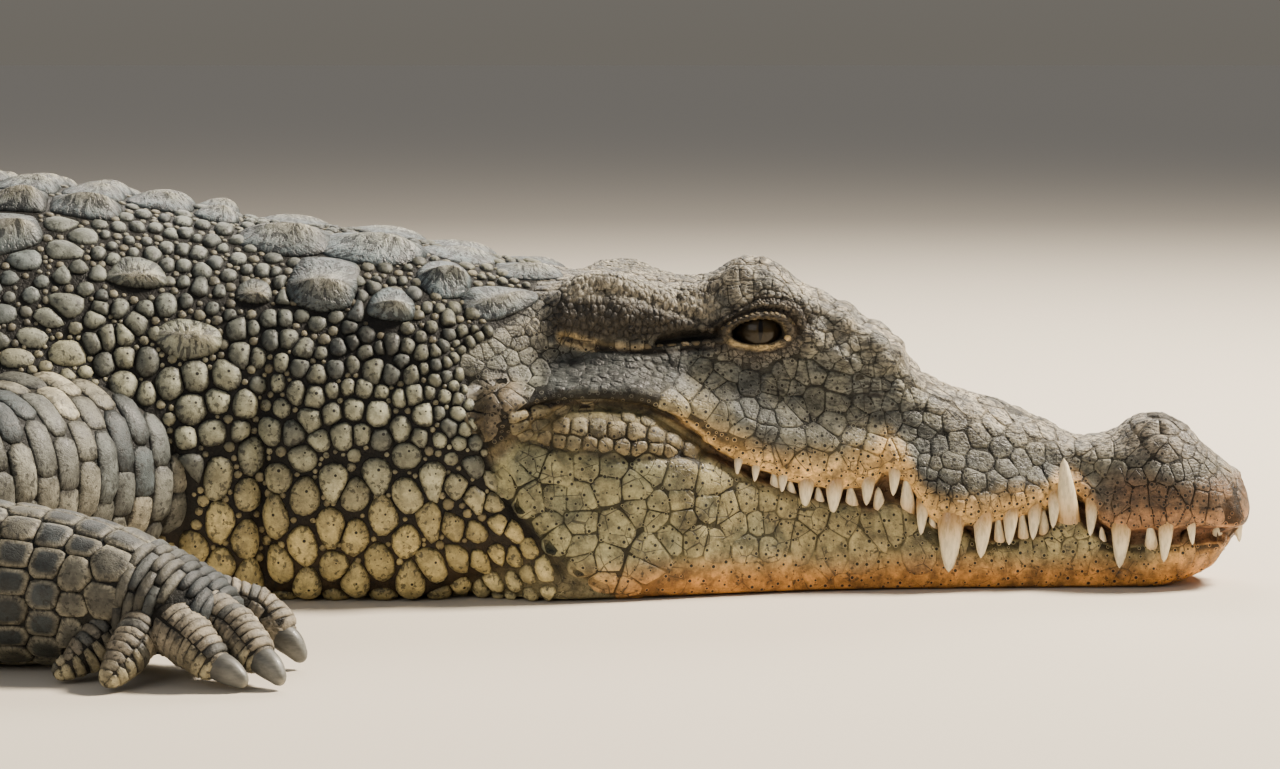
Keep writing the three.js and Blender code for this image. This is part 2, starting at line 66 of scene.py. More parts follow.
def curve(*knots):
    # smooth curve through (station, value) knots that never overshoots them
    x, y = np.array(knots, float).T
    step = np.diff(x)
    rise = np.diff(y) / step
    slope = np.zeros(len(x))
    for i in range(1, len(x) - 1):
        if rise[i - 1] * rise[i] > 0:
            a, b = 2 * step[i] + step[i - 1], step[i] + 2 * step[i - 1]
            slope[i] = (a + b) / (a / rise[i - 1] + b / rise[i])
    slope[0], slope[-1] = rise[0], rise[-1]

    def at(station):
        s = np.clip(np.asarray(station, float), x[0], x[-1])
        i = np.clip(np.searchsorted(x, s) - 1, 0, len(x) - 2)
        return cubic(y[i], y[i + 1], step[i] * slope[i], step[i] * slope[i + 1], (s - x[i]) / step[i])
    return at


def cubic(start, end, startSlope, endSlope, t):
    # the cubic from start to end with those slopes
    return ((1 + 2 * t) * (1 - t) ** 2 * start + t * (1 - t) ** 2 * startSlope
            + t * t * (3 - 2 * t) * end + t * t * (t - 1) * endSlope)


def ease(low, high, x):
    t = np.clip((x - low) / (high - low), 0, 1)
    return t * t * (3 - 2 * t)


def window(x, low, full, still, high):
    # rises from low to full, falls from still to high
    return ease(low, full, x) * ease(high, still, x)


def mix(a, b, t):
    t = np.asarray(t)[..., None]
    return a * (1 - t) + b * t


def unit(v):
    return v / np.maximum(np.linalg.norm(v, axis=-1, keepdims=True), 1e-12)


def bell(x, width):
    return np.exp(-(x / width) ** 2)


def xyz(*parts):
    return np.stack(np.broadcast_arrays(*parts), -1)


def runOf(points):
    # how far along a row of points each one lies
    return np.concatenate([[0], np.cumsum(np.linalg.norm(np.diff(points, axis=0), axis=1))])


noiseTable = np.random.default_rng(3).random((32, 32, 32))


def noise(p, size, seed=0):
    # smooth value noise from -1 to 1 over points in mm
    q = np.asarray(p, float) / size + seed * 7.31
    base = np.floor(q).astype(int)
    f = q - base
    f = f * f * (3 - 2 * f)
    total = 0
    for corner in np.ndindex(2, 2, 2):
        x, y, z = [f[..., k] if corner[k] else 1 - f[..., k] for k in range(3)]
        i, j, k = np.moveaxis((base + corner) % 32, -1, 0)
        total = total + noiseTable[i, j, k] * (x * y * z)
    return total * 2 - 1


def toPath(s, z, points):
    # distance to a broken line, and how far along it from 0 to 1
    points = np.array(points, float)
    best, along = np.full(np.shape(s), 1e9), np.zeros(np.shape(s))
    run = runOf(points)
    for a, b, done, length in zip(points[:-1], points[1:], run, np.diff(run)):
        d = (b - a) / length
        t = np.clip((s - a[0]) * d[0] + (z - a[1]) * d[1], 0, length)
        gap = np.hypot(s - a[0] - t * d[0], z - a[1] - t * d[1])
        along = np.where(gap < best, (done + t) / run[-1], along)
        best = np.minimum(gap, best)
    return best, along


def gapTo(s, z, points):
    return toPath(s, z, points)[0]


def colour(red, green, blue):
    # screen values from 0 to 255 as linear light
    c = np.array([red, green, blue]) / 255
    return np.where(c <= 0.04045, c / 12.92, ((c + 0.055) / 1.055) ** 2.4)

# ---- the body's shape, in mm: stations run back from the snout tip, widths are half widths

bodyLength = 3620
originStation = 1300
tipRound = 20
lipDepth = 12

topHeight = curve(
    (0, 86), (15, 97), (34, 108), (55, 120), (69, 125), (85, 122), (106, 114), (127, 111), (160, 124),
    (190, 136), (221, 146), (250, 157), (268, 172), (285, 184), (310, 196), (350, 209), (390, 219),
    (430, 224), (480, 230), (520, 235), (560, 243), (600, 251), (670, 263), (770, 277), (820, 288),
    (900, 301), (1000, 310), (1200, 325), (1450, 328), (1620, 312), (1750, 290), (1870, 262), (2000, 236),
    (2300, 198), (2600, 164), (2900, 132), (3200, 100), (3450, 66), (3560, 42), (bodyLength, 12))
ridgeWidth = curve(
    (0, 0), (20, 20), (45, 32), (68, 35), (100, 29), (125, 25), (160, 28), (200, 34), (250, 38), (290, 44),
    (340, 47), (375, 50), (410, 54), (450, 70), (500, 82), (530, 82), (570, 90))
ridgeHeight = curve(
    (0, 78), (20, 94), (45, 110), (68, 117), (100, 107), (125, 103), (160, 114), (200, 128), (245, 150),
    (258, 163), (270, 181), (283, 191), (297, 197), (315, 207), (340, 220), (375, 242), (390, 243),
    (408, 235), (432, 226), (455, 231), (480, 239), (503, 238), (530, 226), (570, 216))
sideWidth = curve(
    (0, 0), (20, 34), (45, 46), (68, 49), (100, 43), (130, 34), (180, 46), (225, 55), (280, 57), (330, 64),
    (375, 72), (420, 78), (470, 93), (520, 105), (570, 120))
sideHeight = curve(
    (0, 66), (20, 80), (45, 90), (68, 94), (100, 90), (130, 86), (180, 97), (225, 107), (280, 125),
    (330, 152), (375, 166), (420, 174), (470, 178), (520, 175), (570, 168))
cheekWidth = curve(
    (0, 0), (20, 41), (45, 52), (68, 55), (100, 50), (137, 40), (180, 57), (225, 68), (280, 67), (330, 78),
    (375, 91), (420, 105), (470, 122), (520, 138), (560, 150), (600, 156))
cheekHeight = curve(
    (0, 54), (20, 62), (45, 68), (68, 70), (100, 70), (137, 80), (180, 76), (225, 74), (270, 98), (330, 104),
    (375, 117), (420, 135), (470, 152), (520, 155), (570, 150))
lipWidth = curve(
    (0, 0), (20, 38), (45, 48), (68, 52), (100, 48.5), (137, 40), (180, 53), (225, 65), (265, 64), (330, 74),
    (375, 86), (420, 100), (470, 118), (520, 135), (560, 149.5), (600, 156))
lipHeight = curve(
    (0, 47), (56, 48), (85, 47.5), (101, 46), (112, 51), (124, 63), (137, 73), (149, 68), (156, 60),
    (188, 54), (217, 50), (232, 50), (247, 60), (262, 83), (277, 91), (284, 83), (295, 78), (318, 77),
    (340, 81), (363, 89), (385, 98), (403, 107), (421, 120), (440, 133), (457, 141), (486, 145),
    (515, 145), (560, 140), (600, 130))
mouthGap = curve(
    (0, 12), (50, 14), (100, 14), (137, 20), (168, 18), (200, 16), (220, 6), (243, 6), (262, 20), (280, 25),
    (300, 12), (330, 9), (360, 8), (390, 5), (420, 3), (600, 4))
gumWidth = curve(
    (0, 0), (20, 33), (45, 42), (70, 45), (100, 44), (130, 45), (180, 52), (220, 60), (280, 65), (330, 73),
    (375, 86), (420, 101), (470, 119), (520, 136), (560, 149), (600, 155))
jawWidth = curve(
    (0, 0), (20, 32), (45, 43), (70, 48), (100, 48), (130, 50), (180, 57), (220, 65), (280, 73), (330, 83),
    (375, 100), (420, 119), (470, 137), (520, 150), (570, 158))
jawHeight = curve((0, 26), (50, 24), (100, 24), (200, 26), (300, 34), (400, 50), (500, 70), (570, 80))
chinWidth = curve(
    (0, 0), (20, 22), (45, 37), (70, 44), (100, 46), (200, 58), (280, 72), (330, 84), (375, 99), (420, 115),
    (470, 132), (520, 146), (570, 152))
chinHeight = curve((0, 12), (30, 5), (80, 2), (200, 1), (570, 2))
underHeight = curve((0, 14), (20, 6), (45, 1), (70, 0), (600, 0))
browDip = curve((0, 0), (330, 0), (380, 8), (450, 6), (520, 0), (600, 0))
bodyWidth = curve(
    (500, 148), (600, 160), (700, 166), (780, 171), (850, 181), (920, 197), (1000, 220), (1150, 258),
    (1300, 275), (1450, 272), (1600, 238), (1720, 196), (1850, 158), (2000, 128), (2300, 92), (2600, 64),
    (2900, 43), (3200, 28), (3450, 16), (3560, 10), (bodyLength, 4))
widestShare = curve(
    (500, 0.36), (1300, 0.36), (1800, 0.42), (2200, 0.46), (3000, 0.48), (bodyLength, 0.5))
sunkShare = curve(
    (500, 0.26), (780, 0.24), (1300, 0.16), (1800, 0.1), (2200, 0.05), (3000, 0.03), (bodyLength, 0.02))
sideBow = curve((500, 0.8), (1300, 0.86), (1900, 0.95), (2400, 1.05), (bodyLength, 1.1))
frontDrawn = np.array([10, 8, 6, 2, 0, 2, 10, 13, 18, 30, 42, 45.0])
frontFade = curve((0, 1), (30, 0.62), (80, 0.2), (140, 0), (200, 0))
lineAngles = np.radians([0, 22, 44, 62, 78, 90, 95, 100, 118, 140, 160, 180])
neckFrom, neckTo = 500, 620
heading = curve(
    (0, -5), (540, -5), (760, 0), (1750, 0), (2200, -14), (2700, -30), (3200, -34), (bodyLength, -18))

spineStep = 5
spineStations = np.arange(0, bodyLength + 1, spineStep)
spineAngle = np.radians(heading(spineStations))
spineX = -np.concatenate([[0], np.cumsum(np.cos(spineAngle[:-1])) * spineStep])
spineY = -np.concatenate([[0], np.cumsum(np.sin(spineAngle[:-1])) * spineStep])
spineX -= spineX[originStation // spineStep]
spineY -= spineY[originStation // spineStep]


def placed(station, aside, height):
    # the point that lies aside of the spine (positive to the left), in mm
    s = np.clip(station, 0, bodyLength)
    x, y = np.interp(s, spineStations, spineX), np.interp(s, spineStations, spineY)
    a = np.interp(s, spineStations, spineAngle)
    before = station - s
    return np.stack([x - before * np.cos(a) - np.sin(a) * aside,
                     y - before * np.sin(a) + np.cos(a) * aside,
                     np.broadcast_to(height, np.shape(x))], -1)


def sectionLines(s):
    # twelve (drawn back, half width, height) lines of one side at each station
    tucked = np.maximum(s, tipRound)
    inset = np.minimum(lipDepth, 0.3 * lipWidth(tucked)) * (1 - 0.85 * ease(400, 428, s))
    rounded = np.sqrt(1 - (1 - np.minimum(s / tipRound, 1)) ** 2)
    top, ridge = topHeight(s), ridgeHeight(s)
    widths = [0 * s, ridgeWidth(tucked) * 0.55, ridgeWidth(tucked), sideWidth(tucked), cheekWidth(tucked),
              lipWidth(tucked), lipWidth(tucked) - inset, gumWidth(tucked), jawWidth(tucked),
              chinWidth(tucked), chinWidth(tucked) / 2, 0 * s]
    lip, slit = lipHeight(s), mouthGap(s)
    heights = [top - browDip(s), top * 0.55 + ridge * 0.45 + np.maximum(top - ridge, 0) * 0.25, ridge,
               sideHeight(s), cheekHeight(s), lip, lip - slit / 2, lip - slit, jawHeight(s), chinHeight(s),
               underHeight(s), underHeight(s)]
    head = np.stack([frontFade(s)[:, None] * frontDrawn, np.stack(widths, 1) * rounded[:, None],
                     np.stack(heights, 1)], -1)
    sine, cosine = np.maximum(np.sin(lineAngles), 0), np.cos(lineAngles)
    width, height = bodyWidth(s)[:, None], topHeight(s)[:, None]
    widest, sunk = widestShare(s)[:, None] * height, sunkShare(s)[:, None] * height
    upper = lineAngles <= math.pi / 2 + 1e-6
    out = width * sine ** np.where(upper, sideBow(s)[:, None], 0.7)
    up = np.where(upper, widest + (height - widest) * np.maximum(cosine, 0),
                  np.maximum(widest - (widest + sunk) * np.maximum(-cosine, 0) ** 0.75, 0))
    body = np.stack([np.zeros_like(out), out, up], -1)
    share = ease(neckFrom, neckTo, s)[:, None, None]
    return head * (1 - share) + body * share


def rounded(lines, at):
    # points of a smooth curve through the lines, at fractional line numbers
    mirrored = np.array([1, -1, 1.0])
    ends = [lines[:, 1:2] * mirrored, lines, lines[:, -2:-1] * mirrored]
    full = np.concatenate(ends, 1)
    step = np.maximum(np.linalg.norm(np.diff(full, axis=1), axis=2), 0.01)[..., None]
    rise = np.diff(full, axis=1) / step
    slope = (rise[:, 1:] * step[:, :-1] + rise[:, :-1] * step[:, 1:]) / (step[:, 1:] + step[:, :-1])
    i = np.minimum(np.floor(at).astype(int), lines.shape[1] - 2)
    t = (at - i)[None, :, None]
    length = step[:, i + 1]
    return cubic(lines[:, i], lines[:, i + 1], length * slope[:, i], length * slope[:, i + 1], t)

# ---- the relief of the head, as a height over the plain skin at a place seen from the side

eye = dict(station=373, height=193.5, long=20, above=9.8, below=8.6, socket=15, orbit=9)
lidFolds = [  # height, distance outside the lids, width, and the heights where it starts and is full
    (1.3, 2.2, 2.2, 0, 1), (2.2, 3.0, 3.0, 186, 197), (-2.4, 8.0, 1.6, 186, 196), (2.2, 11.5, 2.4, 188, 200),
    (-1.8, 15.5, 1.7, 190, 206), (-1.6, 7.5, 1.8, 188, 180)]
ear = dict(flap=[(509, 205), (470, 206), (432, 206)],
           border=[(516, 191), (487, 183), (460, 180), (436, 180), (400, 184)],
           slit=[(446, 188), (430, 190.5), (404, 193)],
           ridge=[(508, 230), (475, 232), (445, 224), (412, 211)],
           temple=[(512, 166), (480, 168), (444, 166)], lids=[(456, 184), (430, 185), (400, 188)])
sideFolds = [  # height, width, path
    (4, 6.5, [(333, 190), (318, 178), (300, 168)]), (-2.5, 5, [(338, 176), (318, 166), (290, 158)]),
    (5, 13, ear["flap"]), (-2.6, 2.4, ear["border"]), (-7, 3.2, ear["slit"]),
    (2.5, 6, [(505, 183), (470, 174), (430, 178)]),
    (-2.6, 3.5, [(492, 227), (465, 221), (437, 209), (410, 203)])]
jawBall = dict(station=563, height=147, radius=20, rise=9)
rearGroove = [(585, 175), (579, 157), (572, 128), (563, 100), (541, 63), (512, 30), (483, 8)]
cornerTop = [(414, 117), (436, 134), (458, 141), (486, 145), (515, 146), (543, 142), (561, 134)]
cornerBottom = [(410, 106), (429, 108), (450, 105), (486, 108), (515, 113), (543, 120), (560, 128)]
preorbital = [(345, 210), (325, 213), (300, 207), (280, 197), (262, 183)]
cheekSwell = [(395, 140), (370, 124), (330, 112), (290, 108)]
nostril = [(56, 7), (60, 12), (68, 15.5), (77, 14)]  # station, half width
browKnobs = ((306, 204), (280, 189), (275, 173))  # station, height
nosePad = dict(station=70, aside=15, long=26, wide=15, rise=5, groove=31)
upperTeeth = [  # station, length, radius
    (10, 16, 4.5), (48, 14, 4), (66, 27, 6.5), (99, 30, 8.5), (121, 20, 5.5), (149, 22, 6), (164, 20, 6),
    (182, 21, 6.5), (203, 27, 8), (227, 36, 11), (248, 19, 5.5), (269, 17, 5.5), (289, 16, 6), (314, 19, 7.5),
    (335, 18, 7), (352, 10, 4.5), (372, 9, 4), (385, 9, 4)]
lowerTeeth = [
    (25, 18, 6), (76, 17, 6), (112, 11, 4), (138, 46, 9.5), (156, 20, 5), (172, 21, 5), (190, 19, 5),
    (240, 12, 4), (259, 24, 7), (280, 14, 6), (301, 13, 6), (325, 10, 5), (346, 10, 5), (358, 12, 5)]


def eyeOut(s, z):
    # distance in mm outside the opening between the lids
    a, up = (s - eye["station"]) / eye["long"], z - eye["height"]
    b = up / np.where(up > 0, eye["above"] - 2.2 * a, eye["below"])
    size = (np.abs(a) ** 2.2 + np.abs(b) ** 2.2) ** (1 / 2.2)
    return (size - 1) * (eye["above"] + 4 * np.abs(a))


def headRelief(s, w, z, line):
    flank = window(line, 1.6, 2.3, 4.6, 5.0)
    out = eyeOut(s, z)
    side = eye["orbit"] * bell(s - 372, 40) * bell(z - 197, 24) - eye["socket"] * ease(0.2, -2.4, out)
    for high, far, width, start, full in lidFolds:
        side = side + high * bell(out - far, width) * ease(start, full, z)
    near, along = toPath(s, z, preorbital)
    side = side + 5 * bell(near, 8) * (1 - 0.5 * along)
    for high, width, path in sideFolds:
        side = side + high * bell(gapTo(s, z, path), width)
    folds = noise(xyz(s, 0, 0.25 * z), 3.6, 12)
    lines = noise(xyz(0.22 * s, 0, z + 0.12 * s), 3.4, 13)
    side = side + 0.8 * folds * ease(18, 12, gapTo(s, z, ear["flap"])) * np.clip(out / 6, 0, 1)
    side = side + 0.9 * lines * ease(15, 9, gapTo(s, z, ear["temple"]))
    rise = flank * side
    for at, high in browKnobs:
        knob = np.exp(-((s - at) / 14) ** 4 - ((z - high + 0.6 * (s - at)) / 8) ** 4)
        rise += 3.2 * knob * ease(3, 2.4, line)
    rise -= 7 * bell(gapTo(s, z, rearGroove), 7) * ease(2.5, 3.2, line)
    ball = np.hypot(s - jawBall["station"], z - jawBall["height"]) / jawBall["radius"]
    rise += jawBall["rise"] * np.exp(-ball ** 4) * ease(3, 3.6, line)
    corners = bell(gapTo(s, z, cornerTop), 2.8) + bell(gapTo(s, z, cornerBottom), 4.5)
    rise -= 3.4 * corners * ease(3.4, 4, line)
    rise += 2.5 * bell(gapTo(s, z, cheekSwell), 9) * window(line, 3, 3.5, 4.8, 5)
    for table, width, least, growth, band in ((upperTeeth, 1.15, 0.6, 0.24, (3.6, 4.4, 5.1, 5.4)),
                                              (lowerTeeth, 1.1, 0.5, 0.16, (6.6, 7, 7.3, 7.9))):
        for at, _, radius in table:
            rise += bell(s - at, radius * width) * (least + radius * growth) * window(line, *band)
    ahead = s - nosePad["station"]
    pad = np.exp(-(ahead / nosePad["long"]) ** 4 - ((w - nosePad["aside"]) / nosePad["wide"]) ** 4)
    rise += nosePad["rise"] * pad * ease(2.8, 2.2, line)
    rise -= 4 * bell(np.hypot(ahead / 1.5, w - nosePad["groove"]), 4) * ease(3.2, 2.6, line)
    rise -= 7 * bell(gapTo(s, w, nostril), 2.4) * ease(2.2, 1.8, line)
    rise -= 2.5 * bell(w, 2.2) * bell(s - 66, 26) * ease(1.4, 0.8, line)
    place, clear = xyz(s, w, z), np.clip(out / 10, 0, 1)
    rugged = ease(3.0, 2.2, line) * window(s, 100, 150, 440, 520)
    rise += (1.2 * noise(place, 26, 1) + 0.7 * noise(place, 12, 2)) * clear
    rise += rugged * (1.5 * noise(place * [0.6, 1, 1], 7, 3) + 0.5) * clear
    rise += 2.4 * noise(place, 15, 14) * ease(3.0, 2.0, line) * bell(s - 290, 55)
    rise += 0.9 * folds * window(line, 0.9, 1.2, 3.2, 3.6) * ease(11, 7, gapTo(s, z, ear["ridge"]))
    return rise


def bodyRelief(s, w, z, line):
    # folds of the neck and the limb roots, and the swell of the flanks
    wave = 10 * noise(xyz(z, z, z), 60, 4)
    rise = -9 * bell(s - 747 - wave, 9) * ease(2.4, 4.2, line)
    rise -= (4 * bell(s - 800, 8) + 3.5 * bell(s - 838, 7)) * ease(3.0, 6.5, line)
    rise -= 4 * bell(gapTo(s, z, [(592, 225), (590, 186), (586, 150)]), 7)
    place = xyz(s, w, z)
    return rise + 2.2 * noise(place, 60, 5) + 1.2 * noise(place, 28, 6)


coatDepth = curve(
    (0, 1.2), (480, 1.4), (600, 3), (760, 4), (1000, 5), (1700, 5), (2400, 3), (3300, 1.5), (bodyLength, 1))


def skinSection(stations, columns):
    # local (station, half width, height) points of the skin with its relief, and each one's line number
    local = rounded(sectionLines(stations), columns)
    local[..., 0] += stations[:, None]
    line = np.broadcast_to(columns, local.shape[:2])
    along = np.gradient(local, axis=0) / np.gradient(stations)[:, None, None]
    normal = unit(np.cross(along, np.gradient(local, axis=1)))
    s, w, z = np.moveaxis(local, -1, 0)
    rise = headRelief(s, w, z, line) * ease(620, 560, s) + bodyRelief(s, w, z, line) * ease(560, 640, s)
    move = (rise * ease(0, 14, z) - coatDepth(s)) * ease(0, 6, stations)[:, None]
    local = local + normal * move[..., None]
    local[..., 1] = np.maximum(local[..., 1], 0)
    local[:, [0, -1], 1] = 0
    local[..., 2] = np.maximum(local[..., 2], 1.2)
    return local, line

# ---- grids of points, meshes and finished pieces


class Sheet:
    # a grid of points in mm that can be read between its rows and columns
    def __init__(self, points, closed):
        self.points, self.closed, self.flipped = points, closed, False
        self.rows, self.columns = points.shape[:2]
        self.turn()

    def turn(self):
        # directions and outward normals, worked out again when the points move
        self.along = np.gradient(self.points, axis=0)
        if self.closed:
            self.around = (np.roll(self.points, -1, 1) - np.roll(self.points, 1, 1)) / 2
        else:
            self.around = np.gradient(self.points, axis=1)
        self.normals = unit(np.cross(self.around, self.along)) * (-1 if self.flipped else 1)
        steps = np.linalg.norm(np.diff(self.points, axis=0), axis=2)
        self.run = np.concatenate([np.zeros((1, self.columns)), np.cumsum(steps, 0)])[..., None]

    def read(self, table, u, v):
        if table.ndim == 2:
            return self.read(table[..., None], u, v)[..., 0]
        u = np.clip(u, 0, self.rows - 1.001)
        v = np.mod(v, self.columns) if self.closed else np.clip(v, 0, self.columns - 1.001)
        i, j = np.floor(u).astype(int), np.floor(v).astype(int)
        j = np.minimum(j, self.columns - 1)
        f, g = (u - i)[..., None], (v - j)[..., None]
        k = (j + 1) % self.columns
        return (table[i, j] * (1 - f) * (1 - g) + table[i + 1, j] * f * (1 - g)
                + table[i, k] * (1 - f) * g + table[i + 1, k] * f * g)

    def frameAt(self, u, v):
        # place, outward normal, and unit directions along and around, with index steps per mm
        place, normal = self.read(self.points, u, v), unit(self.read(self.normals, u, v))
        along, around = self.read(self.along, u, v), self.read(self.around, u, v)
        first = unit(along - normal * (along * normal).sum(-1, keepdims=True))
        second = np.cross(normal, first)
        a11, a12 = (along * first).sum(-1), (around * first).sum(-1)
        a21, a22 = (along * second).sum(-1), (around * second).sum(-1)
        det = a11 * a22 - a12 * a21
        det = np.where(np.abs(det) < 1e-6, 1e-6, det)
        return place, normal, first, second, np.stack([a22, -a12, -a21, a11], -1) / det[..., None]

    def walk(self, u, v, inverse, x, y):
        # row and column numbers x and y mm away from a place, evened out where rows lie closer or farther
        du, dv = inverse[:, 0:1] * x + inverse[:, 1:2] * y, inverse[:, 2:3] * x + inverse[:, 3:4] * y
        u, v = u[:, None] + 0 * du, v[:, None] + dv
        first = self.read(self.run, u, v)[..., 0]
        rate = np.linalg.norm(self.read(self.along, u, v), axis=-1)
        there = u + du
        for turn in range(2):
            gone = (self.read(self.run, there, v)[..., 0] - first) / rate
            there = u + (there - u) * np.clip(du / np.where(np.abs(gone) > 1e-3, gone, 1), 0.4, 2.5)
        return there, v

    def valuesAt(self, u, v):
        return [self.read(table, u, v) for table in (self.station, self.high, self.line, self.wide)]


def meshOf(name, points, faces, tone=None, uv=None, sizes=None, grain=None):
    # points in mm; faces as an array of corners, or a flat array with sizes
    mesh = bpy.data.meshes.new(name)
    faces = np.asarray(faces)
    if sizes is None:
        sizes = np.full(len(faces), faces.shape[1])
        faces = faces.ravel()
    starts = np.concatenate([[0], np.cumsum(sizes)[:-1]])
    mesh.vertices.add(len(points))
    mesh.loops.add(len(faces))
    mesh.polygons.add(len(sizes))

    def fill(layer, key, values, kind=np.float32):
        layer.foreach_set(key, np.asarray(values).astype(kind).ravel())

    fill(mesh.vertices, "co", np.asarray(points) * mm)
    fill(mesh.loops, "vertex_index", faces, np.int32)
    fill(mesh.polygons, "loop_start", starts, np.int32)
    fill(mesh.polygons, "loop_total", sizes, np.int32)
    fill(mesh.polygons, "use_smooth", np.ones(len(sizes)), bool)
    if tone is not None:
        if tone.shape[1] == 3:
            tone = np.concatenate([tone, np.ones((len(tone), 1))], 1)
        fill(mesh.attributes.new("tone", "FLOAT_COLOR", "POINT").data, "color", tone)
    if grain is not None:
        fill(mesh.attributes.new("grain", "FLOAT_VECTOR", "POINT").data, "vector", grain)
    if uv is not None:
        corner = uv[faces]
        high = np.repeat(np.maximum.reduceat(corner[:, 1], starts), sizes)
        corner[:, 1] = np.where(high - corner[:, 1] > 0.1, high, corner[:, 1])
        fill(mesh.uv_layers.new(name="OFBake").data, "uv", corner)
    mesh.update()
    mesh.validate()
    piece = bpy.data.objects.new(name, mesh)
    bpy.context.scene.collection.objects.link(piece)
    return piece


def hand(piece, material, slot, *nodes):
    # a finished piece takes its material, its body and the nodes it stands for; its slot is not used
    piece.data.materials.append(material)
    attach(piece, "root")
    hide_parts(*nodes)
    print(piece.name, len(piece.data.polygons), "faces")
    return piece


# ---- the sheets of skin from snout to tail

columnCounts = [12, 20, 60, 34, 20, 8, 8, 22, 14, 7, 5]  # columns from each key line to the next
halfColumns = np.concatenate([k + np.arange(n) / n for k, n in enumerate(columnCounts)] + [[11.0]])
coarse = 3  # the body has one column for this many of the head's


def stationsBetween(*parts):
    runs = [np.linspace(a, b, max(int(round((b - a) / step)), 1), endpoint=False) for a, b, step in parts]
    return np.concatenate(runs + [[parts[-1][1]]])


tipStations = tipRound * (1 - np.cos(np.linspace(0, math.pi / 2, 16)[:-1]))
headStations = stationsBetween((20, 340, 1.8), (340, 408, 1.0), (408, 524, 1.25), (524, 640, 1.8))
headStations = np.concatenate([tipStations, headStations])
bodyStations = stationsBetween((470, 640, 4), (640, 920, 4), (920, 3440, 9), (3440, 3620, 5))
bodyStart = int(np.argmin(np.abs(bodyStations - 640)))


def bothSides(right, left):
    # right side from the belly up, then the left side down
    return np.concatenate([right[:, ::-1], left[:, 1:-1]], 1)


def bodySheetOf(stations, columns):
    local, line = skinSection(stations, columns)
    s, w, z = np.moveaxis(local, -1, 0)
    sheet = Sheet(bothSides(placed(s, -w, z), placed(s, w, z)), closed=True)
    sheet.station, sheet.wide, sheet.high, sheet.line = [bothSides(table, table) for table in (s, w, z, line)]
    gap = np.linalg.norm(np.diff(sheet.points, axis=1), axis=2)
    arc = np.concatenate([np.zeros((sheet.rows, 1)), np.cumsum(gap, 1)], 1)
    middle = sheet.columns // 2
    sheet.arc = arc - arc[:, middle:middle + 1]
    sheet.side = np.where(np.arange(sheet.columns) <= middle, -1, 1) * np.ones((sheet.rows, 1))
    sheet.values = sheet.station, sheet.high, sheet.line, sheet.wide
    sheet.place = xyz(sheet.station, sheet.wide, sheet.high)
    return sheet


headSheet = bodySheetOf(headStations, halfColumns)
bodySheet = bodySheetOf(bodyStations, halfColumns[::coarse])
print("skin sheets", headSheet.points.shape, bodySheet.points.shape)

# ---- limbs as sheets of skin round a path

foreLeg = dict(
    upper=[(458, -118, 92, 72, 66), (440, -140, 92, 70, 66), (362, -250, 100, 64, 68),
           (262, -342, 78, 52, 62)],
    lower=[(250, -352, 70, 54, 62), (352, -392, 60, 54, 58), (458, -402, 52, 48, 51), (505, -414, 49, 45, 40),
           (548, -428, 41, 38, 25), (566, -434, 36, 32, 17)],
    digits=[[(535, -404, 42, 18, 17), (560, -402, 42, 17, 17), (584, -400, 33, 15, 15),
             (598, -406, 21, 13, 14)],
            [(535, -425, 42, 18, 17), (556, -440, 39, 17, 17), (576, -456, 30, 15, 15),
             (590, -470, 17, 13, 14)],
            [(520, -438, 40, 18, 17), (538, -459, 33, 17, 17), (553, -472, 23, 15, 15),
             (563, -479, 14, 13, 13)],
            [(514, -440, 38, 15, 15), (509, -462, 29, 14, 14), (503, -478, 18, 12, 12), (495, -491, 8, 8, 8)],
            [(494, -430, 34, 14, 14), (484, -446, 26, 13, 13), (472, -456, 15, 11, 11),
             (458, -461, 7, 7, 7)]],
    claws=[[(592, -405, 25, 10, 10), (603, -410, 17, 8, 9), (611, -413, 7, 4, 5)],
           [(585, -466, 21, 10, 10), (597, -476, 14, 8, 9), (605, -483, 6, 4, 5)],
           [(559, -477, 18, 10, 10), (572, -482, 12, 8, 9), (582, -487, 6, 4, 5)]])
hindLeg = dict(
    upper=[(-380, -100, 138, 100, 100), (-360, -120, 138, 98, 100), (-290, -235, 122, 84, 88),
           (-215, -325, 92, 58, 66)],
    lower=[(-208, -330, 86, 54, 62), (-250, -352, 80, 56, 60), (-340, -385, 74, 48, 52),
           (-448, -401, 50, 36, 38), (-478, -404, 36, 32, 32)],
    palm=[(-486, -398, 32, 30, 28), (-462, -412, 31, 34, 28), (-405, -448, 27, 38, 25),
          (-345, -486, 21, 42, 18), (-322, -500, 17, 36, 13)],
    digits=[[(-366, -462, 22, 15, 14), (-320, -454, 21, 14, 14), (-280, -448, 17, 12, 12),
             (-246, -442, 11, 10, 10)],
            [(-362, -480, 22, 15, 14), (-312, -486, 22, 14, 14), (-262, -493, 17, 12, 12),
             (-222, -498, 11, 10, 10)],
            [(-362, -494, 21, 15, 14), (-316, -512, 21, 14, 14), (-270, -532, 16, 12, 12),
             (-232, -546, 11, 10, 10)],
            [(-366, -508, 18, 14, 12), (-330, -536, 16, 12, 11), (-300, -560, 12, 10, 9),
             (-278, -578, 8, 7, 7)]],
    claws=[[(-252, -443, 12, 7, 7.5), (-236, -440, 9, 5.5, 6.5), (-226, -438, 5, 3, 4)],
           [(-228, -497, 12, 7, 7.5), (-212, -499, 9, 5.5, 6.5), (-201, -500, 5, 3, 4)],
           [(-238, -544, 12, 7, 7.5), (-224, -550, 9, 5.5, 6.5), (-214, -554, 5, 3, 4)]])
legForward = {("fore", 1): -24, ("fore", -1): 0, ("hind", 1): 18, ("hind", -1): 0}


